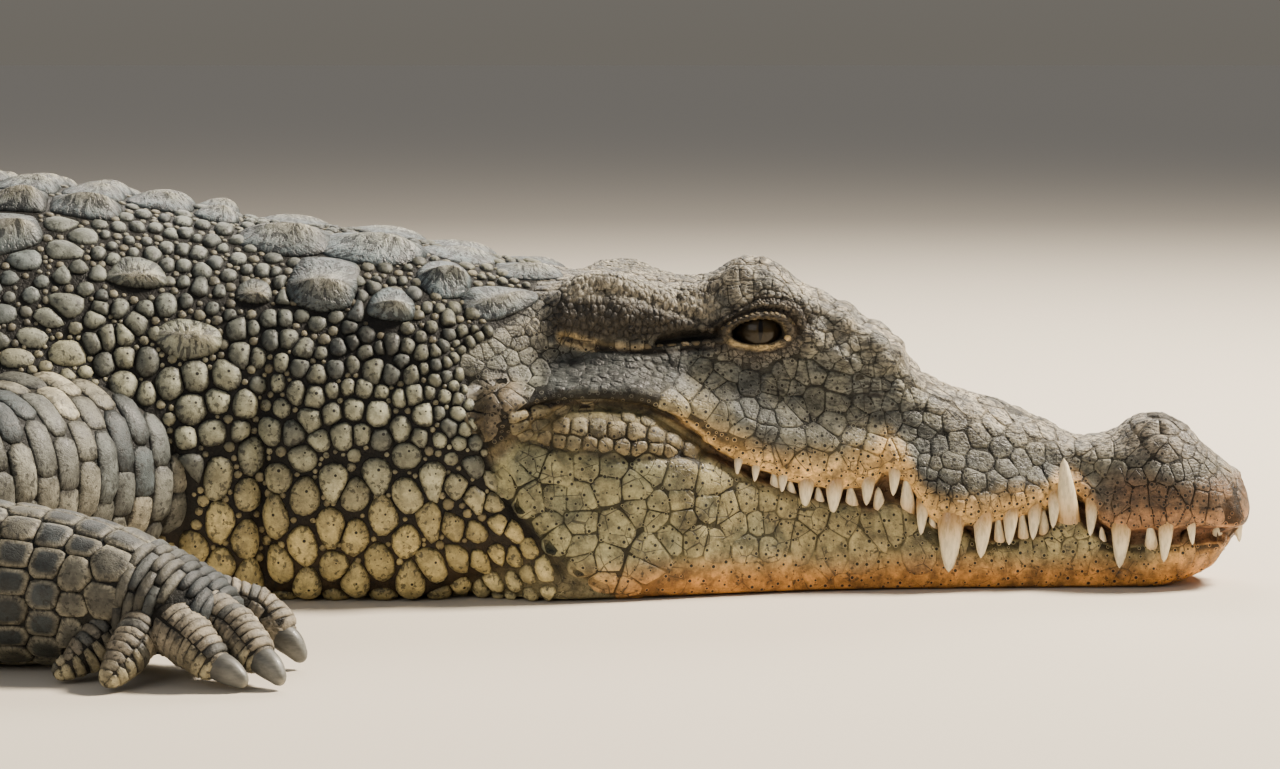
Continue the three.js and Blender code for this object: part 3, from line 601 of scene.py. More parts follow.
def pathAt(points, t):
    # a smooth path through points, t from 0 to the last one's number
    full = np.concatenate([2 * points[:1] - points[1:2], points, 2 * points[-1:] - points[-2:-1]])
    i = np.minimum(np.floor(t).astype(int), len(points) - 2)
    f = (t - i)[:, None]
    p0, p1, p2, p3 = full[i], full[i + 1], full[i + 2], full[i + 3]
    return 0.5 * (2 * p1 + (p2 - p0) * f + (2 * p0 - 5 * p1 + 4 * p2 - p3) * f ** 2
                  + (3 * p1 - 3 * p2 + p3 - p0) * f ** 3)


def tubeSheet(stops, side, shift, step, columns, roundStart=0.0, inset=0.0, knuckles=(), rough=1.0):
    # a limb's skin round (x, y, z, half width, half height) stops, with a rounded end
    stops = np.array(stops, float)
    stops[:, 0] += shift
    stops[:, 1] *= -side
    track = pathAt(stops, np.linspace(0, len(stops) - 1, 400))
    run = runOf(track[:, :3])
    length = run[-1]
    startSize, endSize = track[0, 4] * roundStart, track[-1, 4] * 0.9
    first, last = startSize * 0.6, length - endSize * 0.6
    cap = np.sin(np.linspace(0, math.pi / 2, 7))
    places = np.concatenate([np.linspace(first, last, max(int(length / step), 6)), last + cap[1:] * endSize])
    if roundStart:
        places = np.concatenate([first - cap[:0:-1] * startSize, places])

    def along(table):
        return np.stack([np.interp(places, run, column) for column in table.T], 1)

    forward = unit(along(np.gradient(track[:, :3], axis=0)))
    past = np.maximum(places - length, 0) + np.minimum(places, 0)
    centre = along(track[:, :3]) + forward * past[:, None]
    across = unit(np.cross([0, 0, 1.0], forward))
    up = np.cross(forward, across)
    wide, tall = (along(track[:, 3:5]) - inset).T[..., None]
    beyond = np.maximum(np.maximum((places - last) / endSize, (first - places) / max(startSize, 1)), 0)
    closing = np.sqrt(np.clip(1 - beyond ** 2, 0.0016, 1))[:, None]
    for at, swell, reach in knuckles:
        tall = tall + swell * bell(places - at * length, reach)[:, None]
    angle = np.linspace(0, 2 * math.pi, columns, endpoint=False) - math.pi / 2
    x, y = [np.sign(part) * np.abs(part) ** 0.92 for part in (np.cos(angle), np.sin(angle))]
    ring = (across[:, None] * (wide * closing)[..., None] * x[None, :, None]
            + up[:, None] * (tall * closing)[..., None] * y[None, :, None])
    points = centre[:, None] + ring
    folds = (1.6 * noise(points, 45, 8) + 0.8 * noise(points, 18, 9)) * rough * wide.mean() / 50
    points = points + unit(ring) * folds[..., None]
    points[..., 2] = np.maximum(points[..., 2], 1.0)
    sheet = Sheet(points, closed=True)
    if ((points - centre[:, None]) * sheet.normals).sum() < 0:
        sheet.flipped = True
        sheet.turn()
    sheet.places, sheet.length = places, length
    return sheet


def treeOf(points):
    tree = KDTree(len(points))
    for i, p in enumerate(points):
        tree.insert(p, i)
    tree.balance()
    return tree


def nearest(points, tree):
    # the number of the tree's place nearest to each point, and how far off it is
    hits = [tree.find(p) for p in points]
    return np.array([hit[1] for hit in hits]), np.array([hit[2] for hit in hits])


def fillet(first, second, radius, settle=70):
    # both sheets swell toward each other, so that the crease between them is a smooth hollow
    spreads = []
    for sheet, other in ((first, second), (second, first)):
        places, normals = other.points.reshape(-1, 3), other.normals.reshape(-1, 3)
        low, high = places.min(0) - 4 * radius, places.max(0) + 4 * radius
        close = ((sheet.points > low) & (sheet.points < high)).all(-1)
        near, gap = nearest(sheet.points[close], treeOf(places))
        meeting = np.clip(1 - (sheet.normals[close] * normals[near]).sum(1), 0, 1)
        spread = np.zeros(close.shape)
        spread[close] = 1.6 * radius * meeting * np.exp(-gap / radius)
        for turn in range(6):
            spread = (spread + sum(np.roll(spread, way, axis) for way in (-1, 1) for axis in (0, 1))) / 5
        if sheet is first:
            spread = spread * ease(0, settle, sheet.places)[:, None]
        spreads.append(spread)
    for sheet, spread in zip((first, second), spreads):
        sheet.points = sheet.points + sheet.normals * spread[..., None]
        sheet.points[..., 2] = np.maximum(sheet.points[..., 2], 1.0)
        sheet.turn()


limbs = {}
for end, leg in (("fore", foreLeg), ("hind", hindLeg)):
    for side, sideName in ((1, "left"), (-1, "right")):
        shift = legForward[end, side]
        parts = dict(upper=tubeSheet(leg["upper"], side, shift, 6, 64, inset=3),
                     lower=tubeSheet(leg["lower"], side, shift, 5, 64, roundStart=0.9, inset=3))
        if "palm" in leg:
            parts["palm"] = tubeSheet(leg["palm"], side, shift, 4, 48, roundStart=0.9, inset=2)
        for k, stops in enumerate(leg["digits"]):
            parts["digit%d" % k] = tubeSheet(stops, side, shift, 2.5, 28, inset=1.2,
                                             knuckles=((0.3, 1.5, 7), (0.62, 1.8, 6)))
        fillet(parts["upper"], bodySheet, 12)
        fillet(parts["lower"], parts["upper"], 6, settle=20)
        limbs[end, sideName] = parts
limbSheets = [sheet for parts in limbs.values() for sheet in parts.values()]
print("limbs", len(limbSheets))

# ---- one skin from the sheets

def gridFaces(rows, columns, start=0, flipped=False):
    # the faces of a tube of rings
    i, j = np.meshgrid(np.arange(rows - 1), np.arange(columns), indexing="ij")
    k = (j + 1) % columns
    a, b, c, d = i * columns + j, (i + 1) * columns + j, (i + 1) * columns + k, i * columns + k
    faces = np.stack([a, d, c, b], -1).reshape(-1, 4) + start
    return faces[:, ::-1] if flipped else faces


patchSize = 0.0015  # how much of the texture one scale takes


def spreadUv(sheet, left, right, low, high):
    # the sheet's own rectangle of the texture
    u = np.linspace(left, right, sheet.rows)[:, None]
    v = np.linspace(low, high, sheet.columns + 1)[None, :-1]
    sheet.uv = np.stack(np.broadcast_arrays(u, v), -1)


spreadUv(headSheet, 0.01, 0.39, 0.01, 0.65)
spreadUv(bodySheet, 0.40, 0.99, 0.01, 0.65)
for k, sheet in enumerate(limbSheets):
    left, low = 0.01 + 0.98 * (k % 14) / 14, 0.68 + 0.16 * (k // 14)
    spreadUv(sheet, left, left + 0.06, low, low + 0.13)


def makeSkin():
    head, body = headSheet, bodySheet
    n, m = head.columns, body.columns
    tables = []  # points, uv, tone and grain of each part in turn
    faces = []

    def add(sheet, rows, grain):
        four = sheet.points, sheet.uv, sheet.tone, grain
        tables.append([table[rows].reshape(-1, table.shape[-1]) for table in four])
        start = sum(len(part[0]) for part in tables[:-1])
        faces.append(gridFaces(len(sheet.points[rows]), sheet.columns, start, sheet.flipped))
        return start, len(sheet.points[rows])

    headRows = add(head, slice(0, -1), head.grain)[1]
    start, bodyRows = add(body, slice(bodyStart, None), body.points / 11)
    # the fine rings of the head are joined to the coarse rings of the body
    j = np.arange(m)
    at = [(headRows - 1) * n + (coarse * j + k) % n for k in range(coarse + 1)]
    low, high = start + j, start + (j + 1) % m
    half = coarse // 2 + 1
    for k in range(coarse):
        faces.append(np.stack([at[k], at[k + 1], low if k < half else high], 1))
    faces.append(np.stack([low, at[half], high], 1))
    tail = start + (bodyRows - 1) * m
    end = tail + m
    tables.append([body.points[-1].mean(0, keepdims=True) + [[-2, 1, 0]], [[0.995, 0.33]], body.tone[-1, :1],
                   np.zeros((1, 3))])
    faces.append(np.stack([np.full(m, end), tail + j, tail + (j + 1) % m], 1))
    for sheet in limbSheets:
        add(sheet, slice(None), sheet.points / 11)
    points, uv, tone, grain = [np.concatenate(parts) for parts in zip(*tables)]
    sizes = np.concatenate([np.full(len(part), part.shape[1]) for part in faces])
    return meshOf("skin", points, np.concatenate([part.ravel() for part in faces]), tone, uv, sizes, grain)

# ---- scales: many small closed domes that lie on the sheets

def spaced(order, places, reaches, cell, limit):
    # the numbers of the places, taken in order, that keep clear of each other
    kept, buckets = [], {}
    steps = list(product((-1, 0, 1), repeat=places.shape[1]))
    homes, places = np.floor(places / cell).astype(int).tolist(), places.tolist()
    for k in order:
        home = tuple(homes[k])
        near = [q for step in steps for q in buckets.get(tuple(map(add, home, step)), ())]
        if all(math.dist(places[k], places[q]) > limit(reaches[k], reaches[q]) for q in near):
            kept.append(k)
            buckets.setdefault(home, []).append(k)
    return kept


scattering = dict(nearest=0.78, samples=24000)  # least share of the pitch, and points used to even out


def scatter(sheet, mask, pitch, stretch=1.0, seed=1, rounds=3):
    # places spread evenly over a masked part of a body sheet, pitch apart; stretch > 1 is taller than long
    draw = np.random.default_rng(seed)
    i, j = np.nonzero(mask)
    flat = np.stack([sheet.station[i, j] * stretch, sheet.arc[i, j]], 1)
    gap = pitch[i, j]
    area = np.linalg.norm(np.cross(sheet.along, sheet.around), axis=-1)[i, j]
    order = draw.permutation(len(i))
    kept = spaced(order.tolist(), flat, gap, gap.max(), lambda mine, other: mine * scattering["nearest"])
    centres = np.stack([i[kept], j[kept]], 1).astype(float)
    sample = order[:scattering["samples"]]
    weight = area[sample] / gap[sample] ** 4
    for turn in range(rounds):
        u, v = centres.T
        at = xyz(sheet.read(sheet.station, u, v) * stretch, sheet.read(sheet.arc, u, v), 0)
        owner = nearest(xyz(*flat[sample].T, 0), treeOf(at))[0]
        total = np.bincount(owner, weight, len(centres))
        for axis, index in ((0, i), (1, j)):
            mean = np.bincount(owner, weight * index[sample], len(centres)) / np.maximum(total, 1e-12)
            centres[:, axis] = np.where(total > 0, mean, centres[:, axis])
    return centres[:, 0], centres[:, 1]


def rowsOn(sheet, first, last, low, high, pitchAlong, pitchAround, stagger=0.5, jitter=0.06, start=0.25,
           seed=1):
    # rows of places across a sheet between two row numbers and two column numbers
    draw = np.random.default_rng(seed)
    rows = np.arange(int(first), int(last) + 1)
    run = runOf(sheet.read(sheet.points, rows.astype(float), np.full(len(rows), (low + high) / 2)))
    columns = np.linspace(low, high, 60)
    found, at = [], 0.0
    while at < run[-1]:
        pitch = pitchAlong(float(np.interp(at, run, rows)))
        row = float(np.interp(at + pitch / 2, run, rows))
        arc = runOf(sheet.read(sheet.points, np.full(60, row), columns))
        count = max(int(round(arc[-1] / pitchAround(row))), 3)
        shift = stagger * (len(found) % 2) + start
        cuts = (np.arange(count) - 0.5 + shift + draw.uniform(-jitter, jitter, count)) / count * arc[-1]
        cuts = np.append(cuts, cuts[0] + arc[-1])
        column = np.interp((cuts[1:] + cuts[:-1]) / 2 % max(arc[-1], 1), arc, columns)
        found.append([np.full(count, row), column, np.full(count, pitch), np.diff(cuts)])
        at += pitch
    return [np.concatenate(part) for part in zip(*found)]


def oval(x, y, long, wide, power):
    # how far an oval reaches toward a direction
    size = np.maximum(np.hypot(x, y), 1e-9)
    return ((np.abs(x / size) / long) ** power + (np.abs(y / size) / wide) ** power) ** (-1 / power)


class Scales:
    # one kind of scale on one sheet; sizes in mm and colours are one value or one for each scale
    def __init__(self, sheet, u, v, long, wide, rise, top, edge, sides=14, rings=(1, 0.94, 0.78, 0.45),
                 power=2.4, flat=2.6, sunk=1.0, paint=None, wear=0.5, firmness=9.0, **values):
        self.sheet, self.u, self.v = sheet, np.asarray(u, float), np.asarray(v, float)
        self.sides, self.rings, self.power, self.flat, self.sunk = sides, rings, power, flat, sunk
        self.paint, self.wear, self.firmness = paint, wear, firmness
        self.crested = "pale" in values
        values = dict(long=long, wide=wide, rise=rise, top=top, edge=edge, gap=1.2, turn=0.0, keel=0.0,
                      lean=0.0, rough=0.0, pale=top, rim=top) | values
        for name, value in values.items():
            shape = (len(self.u), 3) if name in ("top", "edge", "pale", "rim") else (len(self.u),)
            setattr(self, name, np.broadcast_to(np.asarray(value, float), shape).copy())
        self.listed = ["u", "v", *values]
        self.frame()

    def frame(self):
        self.place, self.normal, one, two, self.inverse = self.sheet.frameAt(self.u, self.v)
        c, s = np.cos(self.turn)[:, None], np.sin(self.turn)[:, None]
        self.first, self.second = one * c + two * s, two * c - one * s

    def even(self):
        # only the scales that the sheet's folds don't stretch or bend
        angle = np.arange(8) * math.pi / 4
        reach = self.outline.max(1)[:, None]
        u, v = self.sheet.walk(self.u, self.v, self.inverse, reach * np.cos(angle), reach * np.sin(angle))
        far = np.linalg.norm(self.sheet.read(self.sheet.points, u, v) - self.place[:, None], axis=-1)
        facing = (unit(self.sheet.read(self.sheet.normals, u, v)) * self.normal[:, None]).sum(-1)
        return self.keep((far < 2.2 * reach + 3).all(1) & ((facing.min(1) > 0.2) | (self.firmness == 0)))

    def half(self, side):
        # the scales of one side of the body only
        return copy(self).keep(np.where(self.v <= self.sheet.columns // 2, -1, 1) == side)

    def keep(self, mask):
        for name in self.listed + ["outline"] * hasattr(self, "outline"):
            setattr(self, name, getattr(self, name)[mask])
        self.frame()
        return self

    def seen(self, delta, who=slice(None)):
        # offsets in the plane of each scale
        return (delta * self.first[who]).sum(-1), (delta * self.second[who]).sum(-1)


def shapeOutlines(kinds, neighbours=11):
    # scales press on each other: each edge lies where neighbours meet, with rounded corners
    place, first, second, normals, long, wide = [
        np.concatenate([getattr(kind, name) for kind in kinds])
        for name in ("place", "first", "second", "normal", "long", "wide")]
    tree = treeOf(place)
    for kind in kinds:
        near = np.array([[hit[1] for hit in tree.find_n(p, neighbours + 1)][1:] for p in kind.place])
        delta = place[near] - kind.place[:, None]
        x, y = kind.seen(delta, (slice(None), None))
        mine = oval(x, y, kind.long[:, None], kind.wide[:, None], 2.2)
        across, up = (delta * first[near]).sum(-1), (delta * second[near]).sum(-1)
        theirs = oval(across, up, long[near], wide[near], 2.2)
        bend = 1 + 0.11 * (1 - (normals[near] * kind.normal[:, None]).sum(-1))
        meet = np.linalg.norm(delta, axis=-1) * bend * mine / (mine + theirs)
        angle = np.arange(kind.sides) / kind.sides * 2 * math.pi
        cx, cy = np.cos(angle), np.sin(angle)
        toward = (x[..., None] * cx + y[..., None] * cy) / np.maximum(np.hypot(x, y), 0.01)[..., None]
        limit = np.where(toward > 0.08, meet[..., None] / np.maximum(toward, 0.08), 1e4)
        own = oval(cx, cy, kind.long[:, None], kind.wide[:, None], kind.power)
        if kind.firmness:
            own = ((limit ** -kind.firmness).sum(1) + own ** -kind.firmness) ** (-1 / kind.firmness)
        kind.outline = np.maximum(own - kind.gap[:, None] / 2, 0.5)
    for kind in kinds:
        kind.even()


def dropHidden(kinds, sheets, depth=1.0):
    # scales inside another part of the body are left out
    for sheet in sheets:
        places, normals = sheet.points.reshape(-1, 3), sheet.normals.reshape(-1, 3)
        tree = treeOf(places)
        for kind in kinds:
            close = ((kind.place > places.min(0)) & (kind.place < places.max(0))).all(1)
            if kind.sheet is sheet or not close.any():
                continue
            out = np.full(len(kind.u), 99.0)
            near = nearest(kind.place[close], tree)[0]
            out[close] = ((kind.place[close] - places[near]) * normals[near]).sum(1)
            kind.keep(out > -depth)


def domes(kind, seed=5):
    # points, faces, tones, patches, face sizes and grain of one kind's scales
    count, sides, rings, sheet = len(kind.u), kind.sides, np.array(kind.rings), kind.sheet
    angle = np.arange(sides) / sides * 2 * math.pi
    middle = np.zeros((count, 1))

    def ringed(values):
        # one value for each corner of each ring, and nothing at the middle
        return np.concatenate([(values * rings[None, :, None]).reshape(count, -1), middle], 1)

    x, y = ringed((kind.outline * np.cos(angle))[:, None]), ringed((kind.outline * np.sin(angle))[:, None])
    rho = np.append(np.repeat(rings, sides), 0.0)[None]
    long, rise, keel, rough = [value[:, None] for value in (kind.long, kind.rise, kind.keel, kind.rough)]
    lean, half = kind.lean[:, None], kind.outline.mean(1)[:, None]
    high = rise * np.maximum(1 - rho ** kind.flat, 0) ** 0.6 * (1 + lean * x / long)
    ridge = np.exp(-(np.abs(y) / (0.28 * half)) ** 1.25) * (1 - rho ** 2) * (0.55 + 0.9 * lean * x / half)
    high = high + keel * ridge
    c, s = np.cos(kind.turn)[:, None], np.sin(kind.turn)[:, None]
    u, v = sheet.walk(kind.u, kind.v, kind.inverse, x * c - y * s, x * s + y * c)
    ground, normal = sheet.read(sheet.points, u, v), unit(sheet.read(sheet.normals, u, v))
    place = ground + normal * high[..., None]
    high = high + rough * (0.6 * noise(place, 7, seed) + noise(place, 15, seed + 3)) * (1 - rho ** 3)
    if kind.rough.max() > 0:
        around = xyz(np.cos(angle) * 5.2, np.sin(angle) * 5.2, 0)
        lines = noise(around[None] + kind.place[:, None] * 0.37, 1.0, seed + 1)
        lines = np.concatenate([np.tile(lines, (1, len(rings))), middle], 1)
        high = high + rough * 0.8 * lines * rho * (1 - rho ** 6)
    high = np.where(rho > 0.999, -kind.sunk, high)
    place = ground + normal * high[..., None]
    place[..., 2] = np.maximum(place[..., 2], 0.4)
    tone = mix(kind.rim[:, None], kind.top[:, None], ease(0.97, 0.55, rho))
    edge = kind.edge[:, None]
    if kind.paint:
        values = sheet.valuesAt(u, v)
        tone, grain, wear = [way(*values) for way in kind.paint]
        tone = kind.top[:, None] * tone
        edge = edge * tone
    elif kind.crested:
        # streaks run down both sides of the crest, fanning out a little
        fan = np.arctan2(x, np.abs(y) + 0.7 * half)
        grain = xyz(fan * half / 24, np.sign(y) * 3 + kind.u[:, None], np.abs(y) / 22)
        wear = kind.wear + 0 * x
    else:
        spin = np.append(np.tile(angle, len(rings)), 0.0)
        grain = xyz(np.cos(spin) + kind.u[:, None], np.sin(spin) + kind.v[:, None], rho * half / 15)
        wear = kind.wear * (0.15 + 0.85 * rho ** 2) + 0 * x
    tone = mix(edge, tone, ease(1.0, 0.9, rho))
    if kind.crested:
        crest = (high - 0.75 * rise) / np.maximum(keel + 0.25 * rise, 0.1)
        tone = mix(tone, kind.pale[:, None], np.clip(crest, 0, 1) * (rho < 0.8))
    root = sheet.read(sheet.uv, kind.u, kind.v)
    patch = root[:, None] + patchSize * xyz(x, y) / np.maximum(kind.outline.max(1), 1)[:, None, None]
    size = len(rings) * sides + 1
    k = np.arange(sides)
    n = (k + 1) % sides
    last = (len(rings) - 1) * sides
    quads = [np.stack([k, n, n + sides, k + sides], 1) + r * sides for r in range(len(rings) - 1)]
    fan = np.stack([last + k, last + n, np.full(sides, size - 1)], 1)
    flat = np.concatenate([np.concatenate(quads).ravel(), fan.ravel(), k[::-1]])
    shape = np.concatenate([np.full(last, 4), np.full(sides, 3), [sides]])
    if sheet.flipped:
        flat = np.concatenate([face[::-1] for face in np.split(flat, np.cumsum(shape)[:-1])])
    faces = (flat[None] + np.arange(count)[:, None] * size).ravel()
    return (place.reshape(-1, 3), faces, withWear(tone, wear).reshape(-1, 4), patch.reshape(-1, 2),
            np.tile(shape, count), grain.reshape(-1, 3))


def coatPiece(name, kinds, look, *nodes):
    made = [list(domes(kind)) for kind in kinds if len(kind.u)]
    start = 0
    for parts in made:
        parts[1] = parts[1] + start
        start += len(parts[0])
    return hand(meshOf(name, *[np.concatenate(parts) for parts in zip(*made)]), look, "hide", *nodes)

# ---- colours of the hide

shade = {name: colour(*value) for name, value in dict(
    crack=(30, 27, 22), headTop=(152, 143, 125), headSide=(110, 110, 98), snoutSide=(70, 68, 58),
    cheek=(172, 158, 116), slate=(62, 68, 70), lip=(222, 180, 112), lipPink=(164, 120, 80),
    jaw=(156, 144, 102), jawLow=(190, 130, 60), jawRear=(148, 143, 106), jawGreen=(88, 94, 78),
    nose=(112, 105, 93), noseSide=(106, 78, 52), fold=(46, 37, 29),
    lid=(92, 84, 72), rim=(204, 180, 130), ear=(52, 48, 41), squamosal=(136, 130, 115), temple=(50, 54, 55),
    ball=(96, 86, 68), corner=(128, 114, 82), gum=(96, 66, 52),
    neckHigh=(158, 158, 134), neckLow=(186, 168, 112), gap=(22, 21, 19), gapLow=(58, 46, 30),
    scute=(104, 118, 124), crest=(196, 184, 150), flank=(156, 152, 124), flankDark=(84, 88, 84),
    back=(92, 100, 100), belly=(206, 194, 146), tail=(100, 102, 88), tailDark=(52, 54, 50),
    arm=(70, 78, 80), armPale=(166, 158, 134), hand=(122, 114, 98), handDark=(64, 64, 60),
    granule=(112, 102, 78)).items()}


def offSide(line, top, bottom):
    # a distance added where a key line lies above or below the side of the head
    return 60 * (ease(top + 0.2, top - 0.2, line) + ease(bottom - 0.2, bottom + 0.2, line))


def wrinkled(s, z, line):
    # where fine folds stand in for plates: round the ear and on the temple
    off, ridgeOff = offSide(line, 1.7, 4.6), offSide(line, 0.9, 4)
    flap = ease(19, 14, gapTo(s, z, ear["flap"]) + off)
    ridge = ease(13, 9, gapTo(s, z, ear["ridge"]) + ridgeOff)
    return np.maximum(np.maximum(flap, ridge), ease(15, 11, gapTo(s, z, ear["temple"]) + off))


def layered(tone, layers):
    # colours laid over each other, each with its own amount
    for over, amount in layers:
        tone = mix(tone, shade[over] if isinstance(over, str) else over, amount)
    return tone


def headTone(s, z, line, w):
    # the colour of the hide of the head
    place = xyz(s, w, z)
    cloud, small = noise(place, 34, 21), noise(place, 12, 23)
    above = z - lipHeight(s)
    pale = ease(46, 14, above + 16 * cloud + 7 * small) * window(s, 190, 330, 430, 470)
    blotch = ease(0.0, 0.45, noise(place, 21, 25) + 0.6 * small) * ease(12, 30, above + 8 * cloud)
    tone = layered(mix(shade["headTop"], shade["headSide"], ease(1.6, 3.0, line + 0.4 * cloud)), (
        ("snoutSide", ease(330, 200, s) * ease(2.2, 3.2, line) * 0.6),
        ("cheek", pale * 0.8),
        ("slate", blotch * 0.6),
        ("noseSide", ease(130, 90, s) * ease(96, 74, z + 8 * cloud) * 0.8),
        ("nose", ease(120, 70, s) * ease(88, 108, z + 8 * cloud))))
    reach = np.interp(s, [0, 110, 150, 225, 265, 400, 440, 600], [16, 18, 24, 24, 36, 30, 10, 6])
    lip = layered(np.broadcast_to(shade["lipPink"], s.shape + (3,)), (
        ("lip", ease(105, 150, s)), (shade["corner"] * 0.7, ease(425, 450, s))))
    jaw = layered(mix(shade["jaw"], shade["jawRear"], ease(330, 500, s + 30 * cloud)), (
        ("jawGreen", ease(-0.1, 0.5, noise(place, 26, 27) + 0.7 * small) * ease(24, 42, z) * 0.55),
        ("jawLow", ease(34 + 9 * cloud, 8, z) * ease(560, 430, s) * 0.9),
        ("jawLow", ease(90, 20, s) * 0.75)))
    cornerBand, hinge = ease(3.2, 3.8, line), np.hypot(s - jawBall["station"], z - jawBall["height"])
    strip = gapTo(s, z, [(420, 110), (450, 124), (486, 128), (515, 130), (548, 134)])
    off = offSide(line, 1.7, 4.6)
    border, along = toPath(s, z, ear["border"])
    out, lowered = eyeOut(s, z) + off, z - 0.09 * (s - 373)
    upperLid, lowerLid = ease(184, 190, lowered), ease(190, 184, lowered)
    marks = ease(0.05, 0.35, noise(place, 2.6, 33)) * ease(7, 3, out)
    tone = layered(tone, (
        (lip, ease(1.0, 0.3, (above + 5 * cloud + 3 * small) / reach) * ease(6.3, 5.4, line) * 0.9),
        (jaw, ease(5.6, 6.4, line)),
        ("gum", window(line, 4.95, 5.6, 6.9, 7.2) * ease(425, 400, s) * 0.8),
        (shade["corner"] * 0.7, bell(strip, 15) * window(s, 405, 425, 560, 572) * cornerBand),
        ("fold", bell(gapTo(s, z, cornerTop), 2.6) * 0.9 * cornerBand),
        ("fold", bell(gapTo(s, z, cornerBottom), 2.4) * 0.7 * cornerBand),
        ("temple", ease(24, 10, gapTo(s, z, ear["temple"]) + off) * 0.9),
        ("ball", ease(30, 16, hinge) * ease(2.6, 3.4, line)),
        ("ear", ease(26, 12, gapTo(s, z, ear["flap"]) + off)),
        ("squamosal", ease(15, 5, gapTo(s, z, ear["ridge"]) + offSide(line, 0.9, 4))),
        ("rim", bell(border - 3, 2.2) * (along < 0.55) * (z > 181) * 0.5 * ease(60, 50, off)),
        ("fold", bell(border, 2.2) * ease(60, 50, off) * 0.9),
        ("crack", bell(gapTo(s, z, ear["slit"]) + off, 4.4)),
        ("lid", ease(30, 8, out) * 0.8),
        ("fold", bell(out - 8.0, 2.2) * ease(183, 196, z) * 0.9),
        ("fold", bell(out - 15.5, 2.2) * ease(186, 204, z) * 0.7),
        ("fold", bell(out - 6.6, 2.2) * ease(190, 182, z) * 0.75),
        ("rim", bell(out - 2.0, 2.6) * lowerLid * 0.8),
        # the margin of the upper lid is darkened: partly the lid's own dark brown, partly painted shade
        (shade["lid"] * 0.5, bell(out - 2.6, 3.4) * upperLid * 0.85),
        (shade["rim"] * 0.3, bell(out - 0.9, 0.9) * upperLid * 0.8),
        (shade["lid"] * 0.3, marks * 0.6),
        ("crack", ease(0.6, -1.0, out)),
        ("crack", bell(gapTo(s, w, nostril), 2.6) * ease(2.2, 1.8, line))))
    return tone * (1 + 0.17 * cloud + 0.22 * small + 0.1 * noise(place, 5, 26))[..., None]


def headGrain(s, z, line, w):
    # the way the fine folds run: upright round the ear and over its ridge, lengthwise elsewhere
    upright = (s > 398) & (s < 548) & (line > 0.9) & (line < 4.6) & (z > 181)
    return np.where(upright[..., None], xyz(s, w, z), xyz(w * 1.3, z, s)) / 15


def headWear(s, z, line, w):
    # how strongly those folds show
    wear = 0.25 + 0.5 * ease(3.2, 2.2, line) + 0.25 * ease(30, 60, z - lipHeight(s)) * ease(5.5, 5, line)
    wear = np.maximum(wear, 0.7 * wrinkled(s, z, line) * ease(570, 530, s + 40 * (z < 165)))
    return np.clip(wear * (1 + 0.4 * noise(xyz(s, w, z), 30, 29)), 0, 1) * (1 - 0.7 * ease(5.6, 6.4, line))


def bodyTone(s, z, line, w):
    # the colour of the tops of the scales from the neck to the tail
    place = xyz(s, w, z)
    cloud = noise(place, 70, 31)
    band = 0.5 + 0.5 * np.sin(s / 118 * 2 * math.pi + 0.8 * cloud)
    neck = mix(shade["neckHigh"], shade["neckLow"], ease(120, 40, z + 14 * cloud))
    flank = layered(shade["flank"], (
        ("flankDark", ease(-0.1, 0.5, cloud) * ease(150, 210, z)), ("belly", ease(90, 30, z))))
    tail = layered(shade["tail"], (
        ("tailDark", ease(0.35, 0.75, band) * 0.8), ("belly", ease(7.0, 8.6, line) * 0.8)))
    tone = layered(neck, (
        (flank, ease(820, 940, s)),
        ("back", ease(3.4, 2.2, line) * ease(560, 700, s) * 0.75),
        (tail, ease(1680, 1900, s)),
        ("belly", ease(8.2, 9.2, line) * ease(2600, 2000, s) * 0.8),
        ("tailDark", ease(0.2, 0.7, noise(place, 190, 33)) * ease(900, 1000, s) * ease(8, 6, line) * 0.45),
        ("slate", ease(0.25, 0.6, noise(place, 30, 37)) * ease(60, 130, z) * ease(900, 700, s) * 0.6)))
    tone = tone * (1 - 0.58 * ease(130, 190, z) * ease(780, 660, s))[..., None]
    return tone * (1 + 0.14 * cloud + 0.10 * noise(place, 22, 35))[..., None]


def gapTone(s, z, line, w):
    # the bare hide between scales
    tone = mix(shade["gap"], shade["gapLow"], ease(80, 20, z) * 0.8)
    return mix(tone, shade["belly"] * 0.5, ease(8.2, 9.2, line) * 0.7)


def limbTone(place, part):
    cloud = noise(place, 46, 41)
    blotch = ease(0.1, 0.8, cloud) * 0.5
    if part.startswith("digit") or part == "palm":
        tone = mix(shade["hand"], shade["handDark"], blotch)
    else:
        tone = mix(shade["arm"], shade["armPale"], blotch)
    if part == "upper":
        tone = mix(tone, shade["armPale"], 0.6 * ease(-0.8, 0.4, cloud))
    tone = mix(tone, shade["belly"], ease(24, 8, place[..., 2]) * 0.35)
    return tone * (1 + 0.16 * noise(place, 14, 43))[..., None]


def smoothBand(s, z, line):
    # hide without plates, 1 inside it: the foot of the lower jaw, the border of the upper lip and the folds
    wave = noise(xyz(s, z, 0), 24, 55)
    foot = window(line, 7.4, 7.8, 9.2, 9.6) * ease(33, 27, z + 4 * wave) * ease(470, 400, s)
    lip = ease(13, 9, z - lipHeight(s) + 3 * wave) * window(line, 3.4, 3.8, 5.2, 5.4)
    lip = lip * window(s, 120, 150, 420, 440)
    return np.maximum(np.maximum(foot, lip), wrinkled(s, z, line))


def withWear(tone, wear):
    return np.concatenate([tone, np.broadcast_to(wear, tone.shape[:-1])[..., None]], -1)


# where the hide of the head ends and the neck's scales start, by height
rearEdge = curve((0, 470), (8, 483), (30, 512), (63, 541), (100, 563), (128, 572), (157, 581), (178, 588),
                 (196, 566), (212, 548), (226, 540), (250, 536))


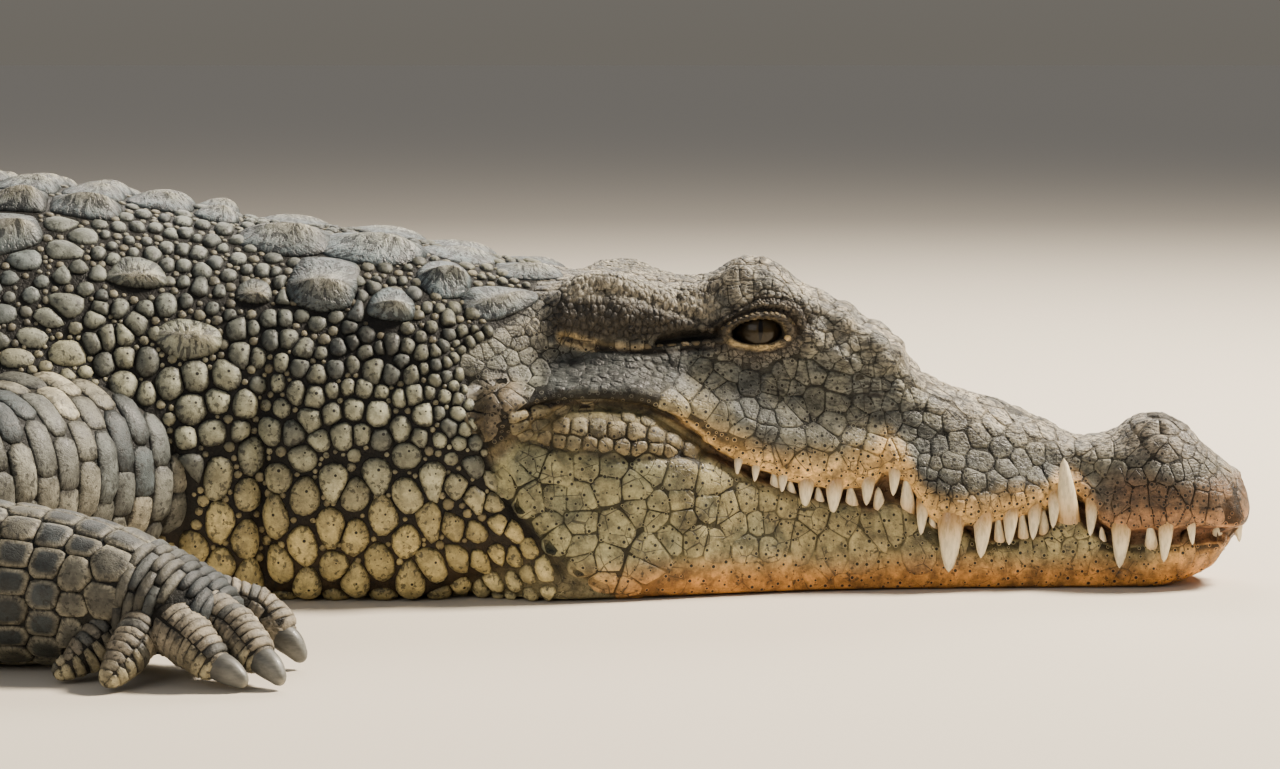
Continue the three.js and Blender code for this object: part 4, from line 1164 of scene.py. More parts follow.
def paintSheets():
    head = headSheet
    s, z, line, w = head.values
    bare = headTone(*head.values)
    plated = ease(5.0, 4.8, line) + ease(7.1, 7.25, line)
    plated = plated * ease(7, 10, eyeOut(s, z) + offSide(line, 1.7, 4.6)) * (1 - smoothBand(s, z, line))
    # the hide under the plates shows only in the cracks between them, and is made darker there
    crackDarkening = np.clip(0.22 + 0.2 * ease(3.0, 2.0, line) + 0.25 * noise(head.place, 22, 58), 0.1, 0.6)
    tone = mix(bare, bare * crackDarkening[..., None], np.clip(plated, 0, 1))
    tone = mix(tone, gapTone(*head.values), ease(-4, 4, s - rearEdge(z)))
    head.tone, head.grain = withWear(tone, headWear(*head.values)), headGrain(*head.values)
    bodySheet.tone = withWear(gapTone(*bodySheet.values), 0.2)
    for parts in limbs.values():
        for part, sheet in parts.items():
            sheet.tone = withWear(limbTone(sheet.points, part) * 0.07, 0.2)


paintSheets()
limbNodes = dict(fore=("upper_arm", "forearm", "forefoot"), hind=("thigh", "shank", "hindfoot"))
skin = makeSkin()

# ---- materials


class Socket:
    # one output of a node, with sums written as python expressions
    def __init__(self, look, socket):
        self.look, self.socket = look, socket

    def maths(self, operation, first, second):
        node = self.look.node("Math", dict(operation=operation), {0: first, 1: second})
        return Socket(self.look, node.outputs[0])

    def __add__(self, other):
        return self.maths("ADD", self, other)

    def __radd__(self, other):
        return self.maths("ADD", other, self)

    def __sub__(self, other):
        return self.maths("SUBTRACT", self, other)

    def __rsub__(self, other):
        return self.maths("SUBTRACT", other, self)

    def __mul__(self, other):
        return self.maths("MULTIPLY", self, other)

    def __rmul__(self, other):
        return self.maths("MULTIPLY", other, self)


class Look:
    # a material made of nodes
    def __init__(self, name):
        self.material = bpy.data.materials.new(name)
        self.material.use_nodes = True
        self.tree = self.material.node_tree
        self.shader = self.tree.nodes["Principled BSDF"]

    def fill(self, node, values):
        for key, value in values.items():
            if isinstance(value, Socket):
                self.tree.links.new(value.socket, node.inputs[key])
            elif isinstance(value, bpy.types.NodeSocket):
                self.tree.links.new(value, node.inputs[key])
            elif node.inputs[key].type == "RGBA":
                node.inputs[key].default_value = tuple(value) + (1,)
            else:
                node.inputs[key].default_value = value
        return node

    def node(self, kind, settings, values):
        node = self.tree.nodes.new("ShaderNode" + kind)
        for key, value in settings.items():
            setattr(node, key, value)
        return self.fill(node, values)

    def place(self):
        return self.node("TexCoord", {}, {}).outputs["Object"]

    def painted(self, name):
        return self.node("Attribute", dict(attribute_name=name), {}).outputs

    def blend(self, amount, first, second, way="MIX"):
        node = self.node("Mix", dict(data_type="RGBA", blend_type=way), {0: amount, 6: first, 7: second})
        return node.outputs[2]

    def tinted(self, tone, by):
        grey = self.node("CombineColor", {}, {0: by, 1: by, 2: by}).outputs[0]
        return self.blend(1.0, tone, grey, "MULTIPLY")

    def between(self, value, low, high, start=0.0, end=1.0):
        settings = dict(interpolation_type="SMOOTHSTEP")
        node = self.node("MapRange", settings, {0: value, 1: low, 2: high, 3: start, 4: end})
        return Socket(self, node.outputs[0])

    def grainOf(self, place, scale, detail=3, rough=0.6):
        values = {"Vector": place, "Scale": scale, "Detail": detail, "Roughness": rough}
        return Socket(self, self.node("TexNoise", {}, values).outputs[0])

    def seamsOf(self, place, scale):
        values = {"Vector": place, "Scale": scale, "Randomness": 1.0}
        return Socket(self, self.node("TexVoronoi", dict(feature="DISTANCE_TO_EDGE"), values).outputs[0])

    def stretched(self, place, scale):
        return self.node("VectorMath", dict(operation="MULTIPLY"), {0: place, 1: scale}).outputs[0]

    def bumped(self, height, strength, distance):
        values = {"Strength": strength, "Distance": distance, "Height": height}
        return self.node("Bump", {}, values).outputs[0]

    def surface(self, **values):
        names = dict(colour="Base Color", roughness="Roughness", bump="Normal", coat="Coat Weight",
                     coatRoughness="Coat Roughness", specular="Specular IOR Level")
        self.fill(self.shader, {names[key]: value for key, value in values.items()})
        return self.material


def hideLook(name, streaks=0.6, mottle=0.35, roughness=0.52, bump=0.5, wrinkle=0.5, cracks=0.0, specular=0.4,
             specks=0.03):
    # reptile hide: its colour is the tone of each point, and the tone's fourth value is how worn it is
    look = Look(name)
    place, painted = look.place(), look.painted("tone")
    tone, wear = painted["Color"], Socket(look, painted["Alpha"])
    soft, fine = look.grainOf(place, 90, 4, 0.65), look.grainOf(place, 420, 3, 0.7)
    mottled = look.between(soft, 0.3, 0.7, 1 - mottle, 1 + mottle * 0.7)
    mottled = mottled * look.between(fine, 0.25, 0.75, 0.8, 1.16)
    flecks = look.between(look.grainOf(place, 270, 3, 0.55) + wear * specks, 0.60, 0.67)
    tone = look.blend(flecks * 0.7, look.tinted(tone, mottled), (0.012, 0.012, 0.011))
    lines = look.grainOf(look.stretched(look.painted("grain")["Vector"], (1, 1, 0.36)), 7.5, 2, 0.5)
    dark = look.between(lines, 0.52, 0.57) * wear * streaks
    pale = look.between(lines, 0.45, 0.36) * wear * streaks
    tone = look.blend(dark, tone, look.blend(1.0, tone, (0.16, 0.17, 0.19), "MULTIPLY"))
    tone = look.blend(pale * 0.35, tone, look.blend(1.0, tone, (1.9, 1.85, 1.7), "MULTIPLY"))
    crackle = look.between(look.seamsOf(place, 330), 0.0, 0.16)
    height = soft * 0.5 + fine * 0.35 + crackle * wrinkle * 0.35 - dark * 0.7 + pale * 0.3
    if cracks:
        seam = look.between(look.seamsOf(place, 62), 0.028, 0.012)
        seam = seam * look.between(look.grainOf(place, 40), 0.46, 0.54)
        tone = look.blend(seam * cracks, tone, (0.012, 0.010, 0.008))
        height = height - seam * cracks * 1.2
    rough = look.between(soft, 0.3, 0.7, roughness - 0.12, roughness + 0.14)
    return look.surface(colour=tone, roughness=rough, bump=look.bumped(height, bump, 0.0012),
                        specular=specular)


def streakedLook(name, stretch, grain, shades, gloss, bump, coat):
    # teeth and claws: streaks that run along them
    look = Look(name)
    lines = look.grainOf(look.stretched(look.place(), stretch), *grain)
    tone = look.tinted(look.painted("tone")["Color"], look.between(lines, 0.3, 0.7, *shades))
    return look.surface(colour=tone, roughness=look.between(lines, 0.3, 0.7, *gloss),
                        bump=look.bumped(lines, *bump), coat=coat)


skinLook = hideLook("skin_hide", streaks=0.75, mottle=0.6, roughness=0.6, wrinkle=0.9, cracks=0.5,
                    specular=0.25)
headLook = hideLook("head_hide", streaks=0.9, mottle=0.6, roughness=0.5, wrinkle=0.9, cracks=0.75)
scaleLook = hideLook("scale_hide", streaks=0.4, mottle=0.42, roughness=0.5, wrinkle=0.4, specks=0.13)
scuteLook = hideLook("scute_horn", streaks=0.95, mottle=0.42, roughness=0.46, bump=0.7, specular=0.5)
limbLook = hideLook("limb_hide", streaks=0.5, mottle=0.5, roughness=0.55, specks=0.1)
limbNames = [part + "_" + side for parts in limbNodes.values() for side in ("left", "right")
             for part in parts]
hand(skin, skinLook, "hide", "head", "lower_jaw", "ear_left", "ear_right", "neck", "trunk", "tail_base",
     "tail_middle", "tail_tip", *limbNames)

# ---- plates of the head

plates = dict(snout=15, top=12, cheek=20, jaw=24, underside=26, lid=5.0, rise=0.7, crack=0.45, mouthFrom=578)


def headPitch(s, z, line, w):
    # how far apart the plates stand
    near = eyeOut(s, z) + offSide(line, 1.7, 4.4)
    pitch = plates["top"] + (plates["snout"] - plates["top"]) * ease(300, 200, s)
    for name, share in (("cheek", ease(2.4, 3.4, line) * ease(240, 330, s)),
                        ("jaw", ease(6.8, 7.4, line) * ease(120, 320, s)),
                        ("underside", ease(8.6, 9.2, line)), ("lid", ease(30, 13, near))):
        pitch = pitch + (plates[name] - pitch) * share
    return pitch * (1 + 0.4 * noise(xyz(s, w, z), 30, 51))


def headMask(s, z, line, w):
    # where the plates stand
    off = offSide(line, 1.7, 4.4)
    mouth = (line > 4.85) & (line < 7.12) & (s < plates["mouthFrom"])
    strip = gapTo(s, z, [(408, 108), (440, 122), (486, 128), (530, 130), (560, 130)])
    strip = (strip < 17) & (line > 3.3) & (s > 405) & (s < 566)
    nose = (gapTo(s, w, nostril) < 4) & (line < 2.3)
    lidRow = gapTo(s, z, ear["lids"]) + off < 4.5
    clear = (s > 3) & (s < rearEdge(z) - 2) & (eyeOut(s, z) + off > 8) & (smoothBand(s, z, line) < 0.5)
    return clear & ~nose & ~mouth & ~strip & ~lidRow


def spotsOn(sheet, path, pitch, low, high, jitter=0.06):
    # places every pitch along a path of (station, height) points, on both sides; low to high are its columns
    path = np.array(path, float)
    run, middle = runOf(path), sheet.columns // 2
    us, vs = [], []
    for side in (-1, 1):
        places = np.arange(0.3 * pitch, run[-1], pitch)
        places = places + rng.normal(0, jitter * pitch, len(places))
        rows = np.interp(np.interp(places, run, path[:, 0]), sheet.station[:, middle], np.arange(sheet.rows))
        for row, height in zip(rows, np.interp(places, run, path[:, 1])):
            column = float(np.interp(height, sheet.high[int(row), low:high], np.arange(low, high)))
            us.append(row)
            vs.append(column if side < 0 else sheet.columns - column)
    return np.array(us), np.array(vs)


def varied(tone, spread, count):
    # the tone a little lighter or darker from scale to scale
    return tone * rng.normal(1, spread, (count, 1))


headPaint = headTone, headGrain, headWear
u, v = scatter(headSheet, headMask(*headSheet.values), headPitch(*headSheet.values), seed=7, rounds=2)
s, z, line, w = headSheet.valuesAt(u, v)
place, pitch = xyz(s, w, z), headPitch(s, z, line, w)
relief = plates["rise"] * (0.6 + 0.03 * pitch) * rng.uniform(0.6, 1.5, len(s))
edge = np.clip(0.45 + 0.25 * ease(3.2, 2.2, line) + 0.4 * noise(place, 34, 59), 0.25, 0.9)
headKinds = [Scales(
    headSheet, u, v, long=pitch * 0.74, wide=pitch * 0.74, rise=relief, top=varied(1, 0.09, len(s)),
    edge=edge[:, None], sides=18, rings=(1, 0.965, 0.88, 0.66, 0.33), flat=4, sunk=0.6, firmness=26,
    gap=np.clip(plates["crack"] * (1 + 1.1 * noise(place, 24, 57)), 0.25, pitch * 0.1),
    rough=0.4 + 0.7 * ease(2.8, 1.6, line), paint=headPaint)]

# rows of small scales on the corner of the mouth: path, pitch and height
cornerRows = [
    ([(420, 115), (440, 130), (462, 137), (488, 141), (515, 142), (540, 139), (556, 133)], 15.5, 6.6),
    ([(416, 108), (438, 119), (460, 125), (488, 129), (515, 131), (545, 131)], 14, 7.4),
    ([(428, 109), (450, 112.5), (486, 116), (515, 119.5), (540, 124)], 12, 6.4)]
for path, pitch, tall in cornerRows:
    u, v = spotsOn(headSheet, path, pitch, 12, 150)
    tops = varied(mix(shade["corner"], shade["jawGreen"], rng.random(len(u)) * 0.45), 0.08, len(u))
    headKinds.append(Scales(
        headSheet, u, v, long=pitch * 0.62, wide=tall * 1.12, rise=1.7, top=tops, edge=shade["fold"],
        sides=18, gap=0.8, flat=3.4, sunk=0.8, rings=(1, 0.95, 0.84, 0.6, 0.3), firmness=18, rough=0.2,
        power=3))

# narrow folds round the ear, upright, and on the temple, lengthwise: mask, pitch, stretch, rise and seed
s, z, line, w = headSheet.values
off = offSide(line, 1.7, 4.6)
flapMask = ((gapTo(s, z, ear["flap"]) + off < 17) | (gapTo(s, z, ear["ridge"]) + offSide(line, 0.9, 4) < 12))
flapMask &= (eyeOut(s, z) > 17) & (gapTo(s, z, ear["border"]) > 4) & (gapTo(s, z, ear["slit"]) > 6)
flapMask &= z > 183
templeMask = (gapTo(s, z, ear["temple"]) + off < 13) & ~flapMask
for mask, pitch, stretch, rise, seed in ((flapMask, 7.2, 1.5, 0.6, 31), (templeMask, 5.6, 0.42, 0.4, 33)):
    u, v = scatter(headSheet, mask, pitch + 0 * z, stretch, seed=seed, rounds=1)
    headKinds.append(Scales(
        headSheet, u, v, long=pitch / stretch * 0.62, wide=pitch * 0.62,
        rise=rise * rng.uniform(0.5, 1.5, len(u)), top=varied(1, 0.16, len(u)), edge=[0.5, 0.48, 0.45],
        sides=12, rings=(1, 0.9, 0.6), gap=0.3, rough=0.3, sunk=0.5, paint=headPaint, firmness=16))


def lidPath(out, first, last):
    # places round the eye at a distance outside the opening, between two angles
    turn = np.radians(np.linspace(first, last, 24))
    size = 1 + out / (eye["above"] + 4 * np.abs(np.cos(turn)))
    tall = np.where(np.sin(turn) > 0, eye["above"] - 2.2 * np.cos(turn), eye["below"])
    return np.stack([eye["station"] + eye["long"] * size * np.cos(turn),
                     eye["height"] + tall * size * np.sin(turn)], 1)


# beads on the lids: distance outside the opening, first and last angle, pitch, height and brightness
for out, first, last, pitch, tall, tint in ((2.4, 190, 350, 6.4, 2.1, 0.8), (5.4, 20, 165, 4.6, 1.8, 0.2)):
    u, v = spotsOn(headSheet, lidPath(out, first, last), pitch, 84, 190, jitter=0.12)
    tops = varied(shade["rim"] * tint, 0.2, len(u))
    headKinds.append(Scales(
        headSheet, u, v, long=pitch * 0.54, wide=tall * rng.normal(1, 0.12, len(u)), rise=0.7, top=tops,
        edge=shade["fold"] * 0.8, sides=12, gap=0.35, sunk=0.6, wear=1.0, firmness=14))
u, v = spotsOn(headSheet, ear["lids"], 8.5, 84, 190)
tops = mix(shade["rim"], shade["ear"], 0.75 + 0.25 * rng.random(len(u)))
headKinds.append(Scales(headSheet, u, v, long=4.8, wide=2.4, rise=0.6, top=tops, edge=shade["fold"], gap=0.7,
                        flat=3, sunk=0.6, firmness=14))
shapeOutlines(headKinds)
headPieces = {}
for name, side in (("right", -1), ("left", 1)):
    halves = [kind.half(side) for kind in headKinds]
    headPieces[name] = coatPiece("head_plates_" + name, halves, headLook, "head", "lower_jaw")

# ---- pores

pores = dict(size=1.6, pit=0.56, corners=8, lift=0.1, above=14, reach=20, unevenness=1.5)
poreLook = Look("pore")
poreLook.surface(colour=poreLook.painted("tone")["Color"], roughness=0.7)


def poresOn(name, sheet, u, v, pieces, tone, *nodes):
    # dark pits with a pale ring, laid on the surfaces that stand above them
    draw = np.random.default_rng(3)
    casts = [BVHTree.FromObject(piece, bpy.context.evaluated_depsgraph_get()) for piece in pieces]
    place, normal, first, second, inverse = sheet.frameAt(u, v)
    n = pores["corners"]
    angle = np.tile(np.arange(n) / n * 2 * math.pi, 2)
    reach = np.repeat([1, pores["pit"]], n)
    size = pores["size"] * draw.uniform(0.6, 1.2, len(u))
    x, y = np.append(reach * np.cos(angle), 0), np.append(reach * np.sin(angle), 0)
    spots = first[:, None] * x[:, None] + second[:, None] * y[:, None]
    spots = place[:, None] + size[:, None, None] * spots
    points, kept = [], []
    for k in range(len(u)):
        ring = []
        for spot in spots[k]:
            start, way = Vector((spot + normal[k] * pores["above"]) * mm), Vector(-normal[k])
            hits = [cast.ray_cast(start, way, pores["reach"] * mm) for cast in casts]
            hits = [hit for hit in hits if hit[0] is not None]
            if not hits:
                break
            ring.append(np.array(min(hits, key=lambda hit: hit[3])[0]) / mm)
        if len(ring) == len(x) and np.ptp((np.array(ring) - place[k]) @ normal[k]) < pores["unevenness"]:
            kept.append(k)
            points.append(np.array(ring))
    lift = pores["lift"] * np.array([0.4] * n + [1.2] * n + [0.8])
    points = np.array(points) + normal[kept][:, None] * lift[:, None]
    pale, pit = tone[kept][:, None] * 1.3, np.broadcast_to(shade["crack"] * 0.35, (len(kept), n + 1, 3))
    tones = np.concatenate([np.repeat(pale, n, 1), pit], 1)
    k, m = np.arange(n), (np.arange(n) + 1) % n
    rim, pitFaces = np.stack([k, m, m + n, k + n], 1), np.stack([k + n, m + n, 0 * k + 2 * n], 1)
    one = np.concatenate([rim.ravel(), pitFaces.ravel()])
    faces = (one[None] + np.arange(len(kept))[:, None] * len(x)).ravel()
    patches = sheet.read(sheet.uv, u[kept], v[kept])[:, None] + patchSize * xyz(x, y)
    hand(meshOf(name, points.reshape(-1, 3), faces, tones.reshape(-1, 3), patches.reshape(-1, 2),
                np.tile(np.repeat([4, 3], n), len(kept))), poreLook.material, "hide", *nodes)


s, z, line, w = headSheet.values
poreArea = ((s > 8) & (s < rearEdge(z) - 8) & (line > 2.5) & (line < 9) & ~((line > 4.95) & (line < 7.15))
            & (wrinkled(s, z, line) < 0.5) & (eyeOut(s, z) + offSide(line, 1.7, 4.4) > 16))
porePitch = np.interp(line, [2.5, 3.4, 5, 7, 8.5], [11, 7.4, 6.2, 6.8, 10.5])
u, v = scatter(headSheet, poreArea, porePitch, seed=23, rounds=0)
tone = headTone(*headSheet.valuesAt(u, v))
for name, side in (("right", -1), ("left", 1)):
    mine = np.where(v <= headSheet.columns // 2, -1, 1) == side
    poresOn("head_pores_" + name, headSheet, u[mine], v[mine], [skin, headPieces[name]], tone[mine], "head",
            "lower_jaw")

# ---- scales of the neck and trunk


def columnAt(sheet, row, aside):
    # the column whose top side lies aside of the spine (positive to the left)
    middle = sheet.columns // 2
    i = int(round(row))
    count = int(np.argmax(sheet.wide[i, middle::-1] > 0.985 * sheet.wide[i].max()))
    widths = sheet.wide[i, middle:middle - count:-1]
    return middle + math.copysign(float(np.interp(abs(aside), widths, np.arange(count))), aside)


def rowAt(sheet, station):
    return float(np.interp(station, sheet.station[:, sheet.columns // 2], np.arange(sheet.rows)))


scutes = dict(pitch=48, first=838, last=1990, asides=(25, 72, 117), outer=152, rise=5, keel=13)
nuchals = [  # station, aside, half length, half width, rise, keel
    (741, 55, 38, 44, 5, 14), (668, 55, 44, 46, 5, 12), (706, 112, 48, 38, 6, 13), (612, 82, 22, 22, 5, 16),
    (650, 118, 19, 18, 5, 13), (568, 90, 32, 20, 4, 8), (552, 40, 28, 24, 4, 7), (606, 26, 32, 26, 3, 7),
    (795, 26, 19, 19, 5, 8), (801, 148, 27, 15, 7, 4), (756, 122, 14, 12, 5, 3)]
us, vs, sizes = [], [], []
for station, aside, *size in nuchals:
    for side in (-1, 1):
        us.append(rowAt(bodySheet, station + side * 3))
        vs.append(columnAt(bodySheet, us[-1], side * aside))
        sizes.append(size)
for k, station in enumerate(np.arange(scutes["first"], scutes["last"], scutes["pitch"])):
    taper = float(np.interp(station, [860, 920, 1600, 1990], [0.85, 1, 1, 0.62]))
    row = rowAt(bodySheet, station)
    for n, aside in enumerate(scutes["asides"] + (scutes["outer"],)):
        if (n == 3 and station > 1700) or 0 < n < 3 and k < n:
            continue
        for side in (-1, 1):
            us.append(row + rng.normal(0, 0.25))
            vs.append(columnAt(bodySheet, row, side * aside * taper))
            inner = 31, 28 * taper, scutes["rise"], scutes["keel"] * (0.7 if n == 0 else 1)
            sizes.append((25, 13.5, 6, 4) if n == 3 else inner)
sizes = np.array(sizes)
sizes[:, 2:] *= rng.normal(1, 0.1, (len(sizes), 1))
values = bodySheet.valuesAt(np.array(us), np.array(vs))
brown = rng.random(len(us)) * 0.6 + 0.4 * ease(850, 960, values[0])
tops = mix(np.tile(shade["scute"], (len(us), 1)), shade["back"], brown) * rng.normal(0.7, 0.1, (len(us), 1))
tops = np.where(sizes[:, 3:] < 5, bodyTone(*values) * 1.1, tops)
bigScutes = Scales(
    bodySheet, us, vs, *sizes[:, :3].T, tops, tops * 0.35, sides=52,
    rings=(1, 0.97, 0.88, 0.75, 0.6, 0.42, 0.22), gap=0.8, keel=sizes[:, 3], lean=-0.3, rough=0.4,
    pale=mix(tops, shade["crest"], 0.5), power=2.3, wear=0.9, firmness=16, rim=tops * 0.7)

neck = dict(last=872, upper=14, middle=22, lower=34, stretch=1.22, rise=4.6, along=21, around=33,
            rowsBelow=112, fills=[0.74, 0.98, 1.14], shares=[0.3, 0.45, 0.25])
sheet = bodySheet


def neckPitch(s, z, line, w):
    pitch = np.interp(z, [40, 130, 210], [neck["lower"], neck["middle"], neck["upper"]])
    pitch = pitch * (0.55 + 0.45 * ease(0, 70, s - rearEdge(z))) * (1 + 0.15 * ease(700, 840, s))
    return pitch * (1 + 0.16 * noise(xyz(s, w, z), 50, 61))


def clearOf(kind, sheet):
    # how far the grid points of a sheet lie outside a kind's ovals
    flat = sheet.points.reshape(-1, 3)
    near, gap = nearest(flat, treeOf(kind.place))
    x, y = kind.seen(flat - kind.place[near], near)
    return (gap - oval(x, y, kind.long[near], kind.wide[near], kind.power)).reshape(sheet.rows, sheet.columns)


clear = clearOf(bigScutes, sheet)
pitch = neckPitch(*sheet.values)
mask = (sheet.station > rearEdge(sheet.high) + 2) & (sheet.station < neck["last"])
mask = mask & (sheet.high > neck["rowsBelow"] + 3) & (clear > 3) & (clear > 0.35 * pitch)
u, v = scatter(sheet, mask, pitch, neck["stretch"], seed=13)
pitch = neckPitch(*sheet.valuesAt(u, v))
fill = rng.choice(neck["fills"], len(u), p=neck["shares"])
sizes = xyz(pitch / neck["stretch"] * 0.56 * fill, pitch * 0.55 * fill * rng.normal(1, 0.08, len(u)))


def neckStep(row):
    station = sheet.station[int(row), sheet.columns // 2]
    return neck["along"] * float(0.6 + 0.4 * ease(0, 70, station - rearEdge(70.0)))


# low on the neck they stand in upright rows
ru, rv, long, wide = rowsOn(sheet, rowAt(sheet, 520), rowAt(sheet, 885), 0, sheet.columns, neckStep,
                            lambda row: neck["around"] * neckStep(row) / neck["along"], jitter=0.14, seed=5)
ru = ru + rng.normal(0, 0.5, len(ru))
s, z, line, w = sheet.valuesAt(ru, rv)
low = (z < neck["rowsBelow"]) & (line < 9.4) & (s > rearEdge(z) + 8) & ((s < 880) | (z < 40))
u, v = np.concatenate([u, ru[low]]), np.concatenate([v, rv[low]])
rowSizes = xyz(long[low] * 0.56, wide[low] * (0.56 - 0.1 * ease(80, 108, z[low])))
sizes = np.concatenate([sizes, rowSizes])
values = sheet.valuesAt(u, v)
z = values[1]
tops = varied(bodyTone(*values), 0.14, len(u))
tops = mix(tops, shade["slate"], 0.7 * (rng.random(len(u)) < 0.14 * ease(80, 130, z)))
neckScales = Scales(
    sheet, u, v, *sizes.T, neck["rise"] * (sizes[:, 1] / 11) ** 0.6, tops, tops * 0.3, sides=16,
    rings=(1, 0.95, 0.84, 0.64, 0.36), gap=0.6, flat=2.5, turn=rng.normal(0.1, 0.1, len(u)), rough=0.3,
    wear=0.85, firmness=11, rim=mix(tops, shade["slate"] * 0.7, 0.25 + 0.5 * ease(70, 140, z)))

flank = dict(last=1800, line=8.3, along=38, around=25, fill=0.47, rise=3.8, keel=1.4)
mask = (sheet.station >= neck["last"]) & (sheet.station < flank["last"])
mask = mask & (sheet.line < flank["line"]) & (clear > 6)
pitch = flank["around"] * (1 + 0.2 * noise(sheet.points, 90, 62))
u, v = scatter(sheet, mask, pitch, flank["around"] / flank["along"], seed=17)
tops = varied(bodyTone(*sheet.valuesAt(u, v)), 0.1, len(u))
size = rng.choice([0.8, 1.0], len(u), p=[0.4, 0.6])
long, wide = [flank[way] * flank["fill"] * size for way in ("along", "around")]
flankScales = Scales(
    sheet, u, v, long, wide, flank["rise"] * size, tops, tops * 0.26, rings=(1, 0.94, 0.8, 0.5), gap=2.2,
    flat=2.2, keel=flank["keel"] * size, rough=0.4)

# belly rectangles from the throat to the vent
belly = dict(first=500, last=1880, line=8.7, along=27, around=25, long=17, wide=16, rise=1.1)
lines = halfColumns[::coarse]
edge = len(lines) - 1 - float(np.interp(belly["line"], lines, np.arange(len(lines))))
u, v, long, wide = rowsOn(
    sheet, rowAt(sheet, belly["first"]), rowAt(sheet, belly["last"]), -edge, edge, lambda row: belly["along"],
    lambda row: belly["around"], stagger=0.0, jitter=0.04)
tops = varied(shade["belly"], 0.05, len(u))
bellyScales = Scales(
    sheet, u, v, belly["long"], belly["wide"], belly["rise"], tops, tops * 0.55, sides=8, rings=(1, 0.85),
    power=4, flat=4, sunk=0.6)

# rings of scales round the tail
tail = dict(first=1806, last=3590, along=28, leastAround=15, aroundShare=0.8 / 4.6, long=18)
u, v, long, wide = rowsOn(
    sheet, rowAt(sheet, tail["first"]), rowAt(sheet, tail["last"]), 0, sheet.columns,
    lambda row: tail["along"], lambda row: max(tail["leastAround"],
                                               tail["aroundShare"] * sheet.wide[int(row)].max()),
    stagger=0.0, jitter=0.03)
s, z, line, w = sheet.valuesAt(u, v)
tops = varied(bodyTone(s, z, line, w), 0.08, len(u))
tailScales = Scales(
    sheet, u, v, tail["long"], np.interp(s, [1890, 2300, 3000, 3590], [18, 15, 12, 9]),
    np.interp(s, [1890, 3590], [2.4, 1.2]), tops, tops * 0.35, sides=12, rings=(1, 0.92, 0.7), gap=1.6,
    power=3.6, flat=3.2, keel=1.5 * ease(7, 4, line), rough=0.3)
tailScales.keep((s > scutes["last"] - 5) | (sheet.read(clear, u, v) > 6))

bodyKinds = [bigScutes, neckScales, flankScales, bellyScales, tailScales]
dropHidden(bodyKinds, limbSheets, -4.0)
print("body scales", [len(k.u) for k in bodyKinds])

# ---- scales of the limbs

limbScales = dict(
    upper=dict(along=19, around=38, band=19, rise=3.2, gap=0.5, free=True, stagger=0.5, jitter=0.22, start=0),
    lower=dict(along=24, around=20, band=7.5, rise=2.8, gap=-0.2, free=False, stagger=0.5, jitter=0.1,
               start=0, wrist=0.78),
    palm=dict(along=11, around=26, band=11, rise=1.8, gap=0.4, free=True, stagger=0.5, jitter=0.15, start=0,
              count=7),
    digit=dict(along=6.8, around=22, band=6.8, rise=1.5, gap=0.1, free=True, stagger=0, jitter=0.02,
               start=0.5, count=3))
limbKinds = {}
for (end, sideName), parts in limbs.items():
    kinds = []
    near = sideName == "right" and end == "fore"
    for part, sheet in parts.items():
        digit = part.startswith("digit")
        s = limbScales.get("digit" if digit else part)
        wristAt = s["wrist"] * sheet.length if "wrist" in s and end == "fore" else 1e9
        girth = [runOf(ring)[-1] for ring in sheet.points]

        def pitchAlong(row):
            return float(np.interp(sheet.places[int(row)], [wristAt - 12, wristAt], [s["along"], s["band"]]))

        def pitchAround(row):
            width = float(np.interp(sheet.places[int(row)], [wristAt - 5, wristAt], [s["around"], 30]))
            return max(girth[int(row)], 1) / s["count"] if "count" in s else width

        u, v, long, wide = rowsOn(sheet, 1, sheet.rows - 3, 0, sheet.columns, pitchAlong, pitchAround,
                                  stagger=s["stagger"], start=s["start"], jitter=s["jitter"],
                                  seed=len(kinds) + 3)
        u, v, long, wide = np.array([u, v, long, wide])[:, wide > 3]
        tops = varied(limbTone(sheet.read(sheet.points, u, v), part), 0.16, len(u))
        tops = tops * (0.4 if part == "lower" else 1.15)
        tops = mix(tops, shade["slate"], 0.7 * (rng.random(len(u)) < 0.15))
        bricks = s["free"] | (np.interp(u, np.arange(sheet.rows), sheet.places) > wristAt)
        rims = np.where(bricks[:, None], tops * 0.6, mix(tops, shade["armPale"], 0.5))
        for free, grow, power, firmness in ((True, 0.53, 5, 0), (False, 0.9, 3, 20)):
            own = bricks == free
            if own.any():
                kinds.append(Scales(
                    sheet, u[own], v[own], long[own] * grow, wide[own] * grow,
                    s["rise"] * np.clip(wide[own] / s["around"], 0.5, 1.2), tops[own],
                    tops[own] * (0.35 if digit else 0.2), sides=18 if near else 10,
                    rings=(1, 0.95, 0.84, 0.55) if near else (1, 0.9, 0.6), gap=s["gap"], power=power,
                    flat=3.4, lean=-0.25, rough=0.35, rim=rims[own], firmness=firmness, wear=0.9))
    dropHidden(kinds, list(parts.values()) + [bodySheet], 1.5)
    limbKinds[end, sideName] = kinds

everyKind = bodyKinds + [kind for kinds in limbKinds.values() for kind in kinds]
shapeOutlines(everyKind)


